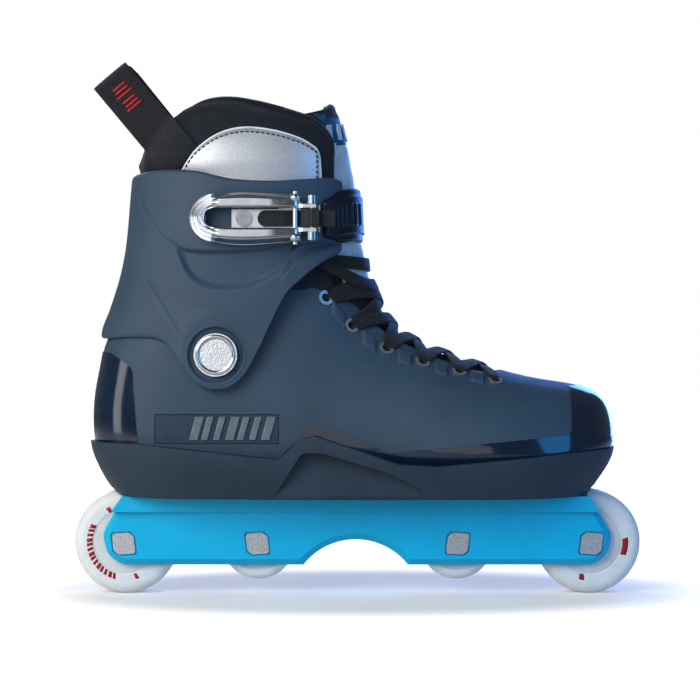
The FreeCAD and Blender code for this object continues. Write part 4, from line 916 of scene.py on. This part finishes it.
def ribbon(path, across, wide, thick, finish, name, edge=0.35, columns=14, settle=None):
    """A flat woven band through path; across holds its width directions, settle moves its places."""
    loops = []
    for index, point in enumerate(path):
        point = Vector(point)
        before, after = Vector(path[max(index - 1, 0)]), Vector(path[min(index + 1, len(path) - 1)])
        heading = (after - before).normalized()
        side = Vector(across[index])
        side = (side - heading * side.dot(heading)).normalized()
        up = side.cross(heading)
        loop = []
        for face in (1, -1):
            for step in range(columns + 1):
                v = -1 + 2 * step / columns
                v *= face
                body = thick / 2 * (1 - edge * abs(v) ** 6)
                middle = point + side * (v * wide / 2)
                loop.append((settle(middle) if settle else middle) + up * (face * body))
        loops.append(loop)
    return new_object(name, *closed_sweep(loops), finish)


def make_pull_strap(finishes):
    length, spread, fold = 53.0, 26.0, 5.2
    path = []
    steps = 40
    for step in range(steps + 1):
        t = step / steps
        forward = -22 + (length - fold + 22) * t
        y = -(spread + 1.5) + (spread - fold + 1.5) * smooth(-0.25, 1.1, t)
        bow = 2.6 * math.sin(math.pi * t)
        path.append(STRAP_FOOT + STRAP_RISE * forward + Vector((0, y - bow, 0)))
    last = path[-1].y
    for step in range(1, 12):
        turn = math.pi * step / 12
        path.append(STRAP_FOOT + STRAP_RISE * (length - fold + fold * math.sin(turn) * 0.9)
                    + Vector((0, last * math.cos(turn), 0)))
    for index, place in enumerate(reversed(path[:steps + 1])):
        path.append(Vector((place.x + 1.92 * (1 - index / steps), -place.y, place.z)))
    across = [STRAP_ACROSS] * len(path)

    def on_liner(place):
        top = along(COLLAR_TOP, place.x)
        under_patch = smooth(4, 0.5, place.z - along(PATCH_TOP, place.x)) if place.x > -97 else 0
        reach = (liner_side(place.x, place.z) + 1.4 - 2.1 * under_patch) * smooth(top + 7, top - 2, place.z)
        return Vector((place.x, math.copysign(max(abs(place.y), reach), place.y), place.z))
    band = ribbon(path, across, 23.0, 1.7, finishes["webbing"], "pull_strap_webbing", columns=30,
                  settle=on_liner)
    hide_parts("pull_strap")
    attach(band, "cuff")
    ticks = []
    for index, shift in enumerate((0, 2.6, 5.2, 9.4, 12.0, 14.6)):
        foot = STRAP_FOOT + STRAP_RISE * (29 + shift) + STRAP_ACROSS * 1.5
        spot = min(range(steps), key=lambda k: abs((path[k] - foot).dot(STRAP_RISE)))
        base = path[spot] + STRAP_RISE * ((foot - path[spot]).dot(STRAP_RISE)) + Vector((0, -1.0, 0))
        half = 4.2 if index % 3 else 5.2
        ticks.append(tube([base + STRAP_ACROSS * (half * (k / 2 - 1)) for k in range(5)], 0.62))
    marks = new_object("strap_red_bars", *joined(ticks), finishes["red_thread"])
    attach(marks, "cuff")


# ---------------------------------------------------------------- laces and lugs

EYELETS = [(-17.3, 30.0), (-3.3, 29.2), (15.6, 28.2), (35.1, 27.1), (54.9, 26.0), (74.5, 25.0)]
TOP_LINE = [(-150, 300), (-60, 262), (-30, 222), (-17.3, 198), (-3.3, 173), (4.8, 163), (15.6, 152.5),
            (35, 140), (55.5, 131), (80, 123), (102, 118), (118, 115.5), (129, 112), (134.5, 108),
            (137.5, 104), (139.3, 99), (140.4, 94), (141.4, 88)]
SIDE_LINE = [(-150, 39), (-100, 40.5), (-40, 41.5), (-5, 43), (30, 46.5), (60, 50), (95, 50), (141, 47)]


def boot_half_width(x, height):
    """Half the shell's width, away from its toe and heel."""
    rise = min(max((height - 66) / (along(TOP_LINE, x) - 66), 0), 1)
    from_toe = min(max((141.4 - x) / 66, 0), 1)
    return along(SIDE_LINE, x) * math.sqrt(1 - rise ** 2.2) * (1 - (1 - from_toe) ** 2.4) ** (1 / 2.4)


def shell_spot(x, y):
    """A point on the shell y from the middle (y above 0), with the outward direction of the medial side."""
    low, high = 90.0, along(TOP_LINE, x)
    for _ in range(36):
        middle = (low + high) / 2
        if boot_half_width(x, middle) > y:
            low = middle
        else:
            high = middle
    step = 0.5
    slope_x = (boot_half_width(x + step, low) - boot_half_width(x - step, low)) / (2 * step)
    slope_z = (boot_half_width(x, low + step) - boot_half_width(x, low - step)) / (2 * step)
    return Vector((x, y, low)), Vector((-slope_x, 1, -slope_z)).normalized()


def sided(vector, side):
    return Vector((vector.x, vector.y * side, vector.z))


def nearest_share(x, z):
    return min((k / 200 for k in range(201)), key=lambda s: (tongue_frame(s)[0] - Vector((x, 0, z))).length)


def lace_station(index):
    """A row of eyelets: the place of the medial one, and the tongue's crest beside it."""
    spot, _ = shell_spot(*EYELETS[index])
    return spot, tongue_frame(nearest_share(spot.x, spot.z))[0]


def lace_over(low, high, rise, side, lift, dips):
    """Path and width directions of a lace over the tongue, from one row to another, starting on one side.

    rise is the way up the tongue, lift the extra height at the crossing, and dips tells which ends go into
    eyelets.
    """
    path, normals = [], []
    steps = 54
    for step in range(steps + 1):
        t = step / steps
        eyelet, crest = low[0].lerp(high[0], t), low[1].lerp(high[1], t)
        turn = side * (1 - 2 * t)
        reach = Vector((eyelet.x - crest.x, 0, eyelet.z - crest.z))
        tangent = Vector((0, 1, 0)) + reach * (2.5 * abs(turn) ** 1.5 * math.copysign(1, turn) / eyelet.y)
        normal = rise.cross(tangent).normalized()
        if normal.x + normal.z < 0:
            normal.negate()
        place = crest + reach * abs(turn) ** 2.5 + Vector((0, eyelet.y * turn, 0))
        path.append(place + normal * (1.15 + lift * math.exp(-((t - 0.5) / 0.17) ** 2)))
        normals.append(normal)
    if dips[0]:
        path[0] -= normals[0] * 3.4
        path[1] -= normals[1] * 0.6
    if dips[1]:
        path[-1] -= normals[-1] * 3.4
        path[-2] -= normals[-2] * 0.6
    across = []
    for index, normal in enumerate(normals):
        heading = path[min(index + 1, steps)] - path[max(index - 1, 0)]
        across.append(heading.cross(normal).normalized())
    return path, across


LACE_WIDE = 7.0


def make_laces(finishes):
    """Crossed laces between the rows of eyelets and up under the cuff, and a band round the front."""
    rows = [lace_station(index) for index in range(len(EYELETS))]
    under_cuff = (Vector((-21, 33.5, 182)), Vector((8.6, 0, 168)))
    band_row = (Vector((-31, 34.4, 183)), Vector((4.6, 0, 181)))
    runs = [(rows[i + 1], rows[i], side, 1.3 if side > 0 else 0.0, (True, True)) for i in range(len(rows) - 1)
            for side in (-1, 1)]
    runs += [(rows[0], under_cuff, side, 1.3 if side > 0 else 0.0, (True, False)) for side in (-1, 1)]
    runs.append((band_row, band_row, 1, 0.6, (False, False)))
    for number, (low, high, side, lift, dips) in enumerate(runs):
        rise = high[1] - low[1]
        if rise.length < 1:
            rise = Vector((-0.1, 0, 1))
        path, across = lace_over(low, high, rise.normalized(), side, lift, dips)
        piece = ribbon(path, across, LACE_WIDE, 1.4, finishes["lace"], "lace_%d" % (number + 1), 0.5, 10)
        pinch_ends(piece, path, dips)
        if number == 0:
            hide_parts("laces")
        if low is band_row:
            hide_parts("lace_top")
            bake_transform(piece)
        elif high is under_cuff:
            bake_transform(piece)
        else:
            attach(piece, "boot")


def pinch_ends(piece, path, dips):
    """Gathers a lace where it goes into its eyelets."""
    for end, dipped in ((path[0] * MM, dips[0]), (path[-1] * MM, dips[1])):
        for vertex in piece.data.vertices:
            distance = (vertex.co - end).length / MM
            if dipped and distance < 7:
                centre = min(path, key=lambda p: (vertex.co - p * MM).length) * MM
                vertex.co = centre + (vertex.co - centre) * (0.45 + 0.55 * smooth(2.0, 7, distance))


def make_lugs(finishes):
    """Raised blocks between the eyelets."""
    parts = []
    steps = 8
    for side in (-1, 1):
        for (x0, y0), (x1, y1) in zip(EYELETS, EYELETS[1:]):
            x, y = (x0 + x1) / 2, (y0 + y1) / 2
            _, out = shell_spot(x, y)
            reach = 4.6 * abs(out.z) / math.hypot(out.y, out.z)
            y += 1.5 * abs(out.z) / math.hypot(out.y, out.z)
            rows = []
            for i in range(steps + 1):
                row = []
                for j in range(steps + 1):
                    u, v = -1 + 2 * i / steps, -1 + 2 * j / steps
                    spot, out = shell_spot(x + u * 4.0, y + v * reach)
                    edge = max(abs(u), abs(v)) > 0.99
                    row.append(sided(spot + out * (-0.5 if edge else 1.5), side))
                rows.append(row)
            verts = [p for row in rows for p in row]
            parts.append((verts, grid_faces(steps + 1, steps + 1)))
    lugs = new_object("lace_lugs", *joined(parts), finishes["shell"])
    bevel = lugs.modifiers.new("soft_edges", "BEVEL")
    bevel.width, bevel.segments = 0.4 * MM, 2
    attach(lugs, "boot")


def make_badge_bars(finishes):
    """Raised slanted bars on the plate at each side of the heel: a plain pattern in place of any name."""
    plate = BVHTree.FromObject(NODES["side_badges"], bpy.context.evaluated_depsgraph_get())
    parts = []
    for side in (-1, 1):
        for index in range(7):
            x = -90 + 6.4 * index
            wide = 3.4 if index % 3 else 4.6
            loops = []
            for z, shift, lift in ((85.5, 0.0, 0.0), (86.0, 0.1, 0.7), (98.2, 3.4, 0.7), (98.7, 3.5, 0.0)):
                loop = []
                crown = lift + 0.1
                for corner, height in ((0.0, -0.4), (0.0, lift), (0.35, crown), (wide - 0.35, crown),
                                       (wide, lift), (wide, -0.4)):
                    place = Vector((x + shift + corner, side * 90, z)) * MM
                    hit = plate.ray_cast(place, Vector((0, -side, 0)))[0]
                    depth = abs(hit.y) / MM if hit else 42.0
                    loop.append((place.x / MM, side * (depth + height), z))
                loops.append(loop)
            parts.append(closed_sweep(loops))
    bars = new_object("badge_bars", *joined(parts), finishes["badge_bar"])
    for polygon in bars.data.polygons:
        polygon.use_smooth = False
    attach(bars, "boot")


# ---------------------------------------------------------------- buckle lever and shin strap

LEVER_Z = 203.6
LEVER_PIN_X, LEVER_PIN_Y = -33.0, -51.6


LEVER_OUTLINE = [(-74, 12.9), (-68, 13.9), (-60, 14.4), (-50, 13.9), (-42, 13.2), (-36, 12.7), (-29.8, 12.3)]
LEVER_CROWN = [(-89, -52.4), (-84, -54.4), (-76, -56.0), (-66, -56.7), (-52, -56.5), (-40, -55.6),
               (-33, -54.4), (-29.8, -52.2)]
LEVER_BACK = [(-89, -51.2), (-84, -51.8), (-76, -52.6), (-66, -53.6), (-52, -53.4), (-40, -52.6),
              (-33, -51.4), (-29.8, -50.6)]


def lever_edges(share):
    """Outer and inner edge of the lever at a share of the way from the lower to the upper arm's end."""
    side = -1 if share < 0.5 else 1
    reach = abs(share - 0.5) * 2
    x_end, x_bend, x_tip, x_window = -29.8, -74.0, -88.7, -80.0
    if reach > 0.3:
        x = x_bend + (x_end - x_bend) * (reach - 0.3) / 0.7
        outer = along(LEVER_OUTLINE, x)
        return (x, side * outer), (x, side * 5.3)
    turn = math.pi / 2 * reach / 0.3
    outer = (x_bend + (x_tip - x_bend) * math.cos(turn), side * 12.9 * math.sin(turn))
    inner = (x_bend + (x_window - x_bend) * math.cos(turn) ** 0.7, side * 5.3 * math.sin(turn) ** 0.7)
    return outer, inner


def make_lever(finishes):
    lengthwise, across_count = 220, 40
    loops = []
    for step in range(lengthwise + 1):
        share = step / lengthwise
        (ox, oz), (ix, iz) = lever_edges(share)
        loop = []
        for k in range(across_count + 1):
            v = k / across_count
            x, z = ix + (ox - ix) * v, iz + (oz - iz) * v
            crown = along(LEVER_CROWN, x)
            skirt = 0.8 * smooth(0.54, 0.62, v) + 4.2 * smooth(0.6, 1.0, v) ** 1.2
            lip = smooth(0.12, 0.0, v) * 0.9
            from_outer = (1 - v) * math.hypot(ox - ix, oz - iz)
            ridge_zone = smooth(-73.5, -77, x)
            ridge = -0.45 * math.cos(2 * math.pi * from_outer / 1.9) * ridge_zone
            loop.append((x, crown + skirt * (1 - 0.55 * ridge_zone) + lip + ridge, LEVER_Z + z))
        for k in range(across_count, -1, -1):
            v = k / across_count
            x, z = ix + (ox - ix) * v, iz + (oz - iz) * v
            crown = along(LEVER_BACK, x)
            loop.append((x, crown + 2.6 * smooth(0.72, 1.0, v) + 1.2 * smooth(0.3, 0.0, v), LEVER_Z + z))
        loops.append(loop)
    lever = new_object("lever_chromed", *closed_sweep(loops), finishes["chrome"])
    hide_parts("lever")
    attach(lever, "lever")
    knuckles = []
    for side in (-1, 1):
        profile = [(0.2, 12.6), (2.2, 12.6), (2.9, 12.0), (3.2, 11.2), (3.2, 8.6), (2.2, 8.3), (0.2, 8.3)]
        verts = []
        turns = 40
        for step in range(turns):
            turn = 2 * math.pi * step / turns
            for radius, height in profile:
                verts.append((LEVER_PIN_X + radius * math.cos(turn), LEVER_PIN_Y + radius * math.sin(turn),
                              LEVER_Z + side * height))
        faces = grid_faces(turns, len(profile), wrap_rows=True)
        faces.append(tuple(step * len(profile) for step in range(turns)))
        faces.append(tuple(step * len(profile) + len(profile) - 1 for step in range(turns)))
        knuckles.append((verts, faces))
    knuckle = new_object("lever_knuckles", *joined(knuckles), finishes["chrome"])
    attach(knuckle, "lever")


def make_shin_strap(finishes):
    """Moulded strap round the shin: a raised middle with ribs, and thinner wings above and below."""
    columns, rows = 240, 60
    thick = 3.4
    loops = []
    lateral_x, medial_x = -19.4, -60.0
    for column in range(columns + 1):
        t = column / columns
        lateral_angle = -ring_angle(CUFF, lateral_x, LEVER_Z, 0.5)
        medial_angle = ring_angle(CUFF, medial_x, LEVER_Z, 0.5)
        angle = lateral_angle + (medial_angle - 2 * math.pi - lateral_angle) * t
        x, y, _ = ring_point(CUFF, angle, LEVER_Z, 0.5)
        lateral = y < 0
        if lateral:
            half = along([(-20, 9.4), (-14, 12.2), (-9, 14.3), (-4, 14.5), (5, 14.5)], x)
        else:
            half = along([(-60, 8.2), (-40, 10.5), (-20, 13.6), (-9, 14.5), (5, 14.5)], x)
        end_round = end_taper(column, columns, (1.2, 0.6, 0.25, 0.08))

        def point(height, grow):
            offset = height - LEVER_Z
            outer = smooth(-thick, 0, grow)
            middle_band = smooth(10.6, 9.8, abs(offset))
            ribs = 0.0
            if lateral:
                plate = smooth(-15.2, -14.6, x) * smooth(-0.6, -1.2, x) * smooth(6.2, 5.6, abs(offset))
                ribs = (0.45 + 0.35 * math.sin(2 * math.pi * x / 2.2)) * plate
            raised = (1.1 * middle_band + ribs) * outer
            px, py, _ = ring_point(CUFF, angle, 207 + (height - 207) * 0.4, 0.5 + thick + grow + raised - 1.1)
            return px, py, height + 4.5 * smooth(-19, 2, px)
        reach = half - end_round
        loops.append(wall_section(point, LEVER_Z - reach, LEVER_Z + reach, thick, rows, 5, end_round))
    strap = new_object("shin_strap_moulding", *closed_sweep(loops), finishes["strap"])
    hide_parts("shin_strap")
    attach(strap, "cuff")


# ---------------------------------------------------------------- wheel print

AXLE_HEIGHT = 28.5
PRINT_FACE = 12.08


def make_wheel_prints(finishes):
    """Plain red strokes printed round both faces of the outer wheels, in place of any lettering."""
    for number, centre_x, arcs in ((1, -127.5, ((150, 256, 7.5), (112, 120, 9), (284, 291, 9))),
                                   (4, 127.5, ((-22, 12, 40), (252, 262, 11)))):
        parts = []
        for side in (-1, 1):
            for first, last, pitch in arcs:
                count = max(round((last - first) / pitch), 1)
                for index in range(count):
                    start = first + (last - first) * index / count
                    wide = (last - first) / count * (0.62 if index % 3 else 0.8)
                    loop = []
                    for r, slant in ((18.0, 0.0), (21.2, 2.0)):
                        for k in range(6):
                            turn = math.radians(start + slant + wide * k / 5)
                            loop.append((centre_x + r * math.cos(turn), side * PRINT_FACE,
                                         AXLE_HEIGHT + r * math.sin(turn)))
                    parts.append((loop, [(k, k + 1, k + 7, k + 6) for k in range(5)]))
        marks = new_object("wheel_print_%d" % number, *joined(parts), finishes["print_red"])
        thickness = marks.modifiers.new("thickness", "SOLIDIFY")
        thickness.thickness = 0.08 * MM
        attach(marks, "wheel_%d" % number)


# ---------------------------------------------------------------- all together

def main():
    make_camera()
    make_lights()
    make_floor()
    finishes = make_finishes()
    dress_nodes(finishes)
    make_cuff(finishes)
    make_pivot_seats(finishes)
    make_liner(finishes)
    make_patches(finishes)
    make_tongue(finishes)
    make_pull_strap(finishes)
    make_laces(finishes)
    make_lugs(finishes)
    make_badge_bars(finishes)
    make_lever(finishes)
    make_shin_strap(finishes)
    make_wheel_prints(finishes)


main()
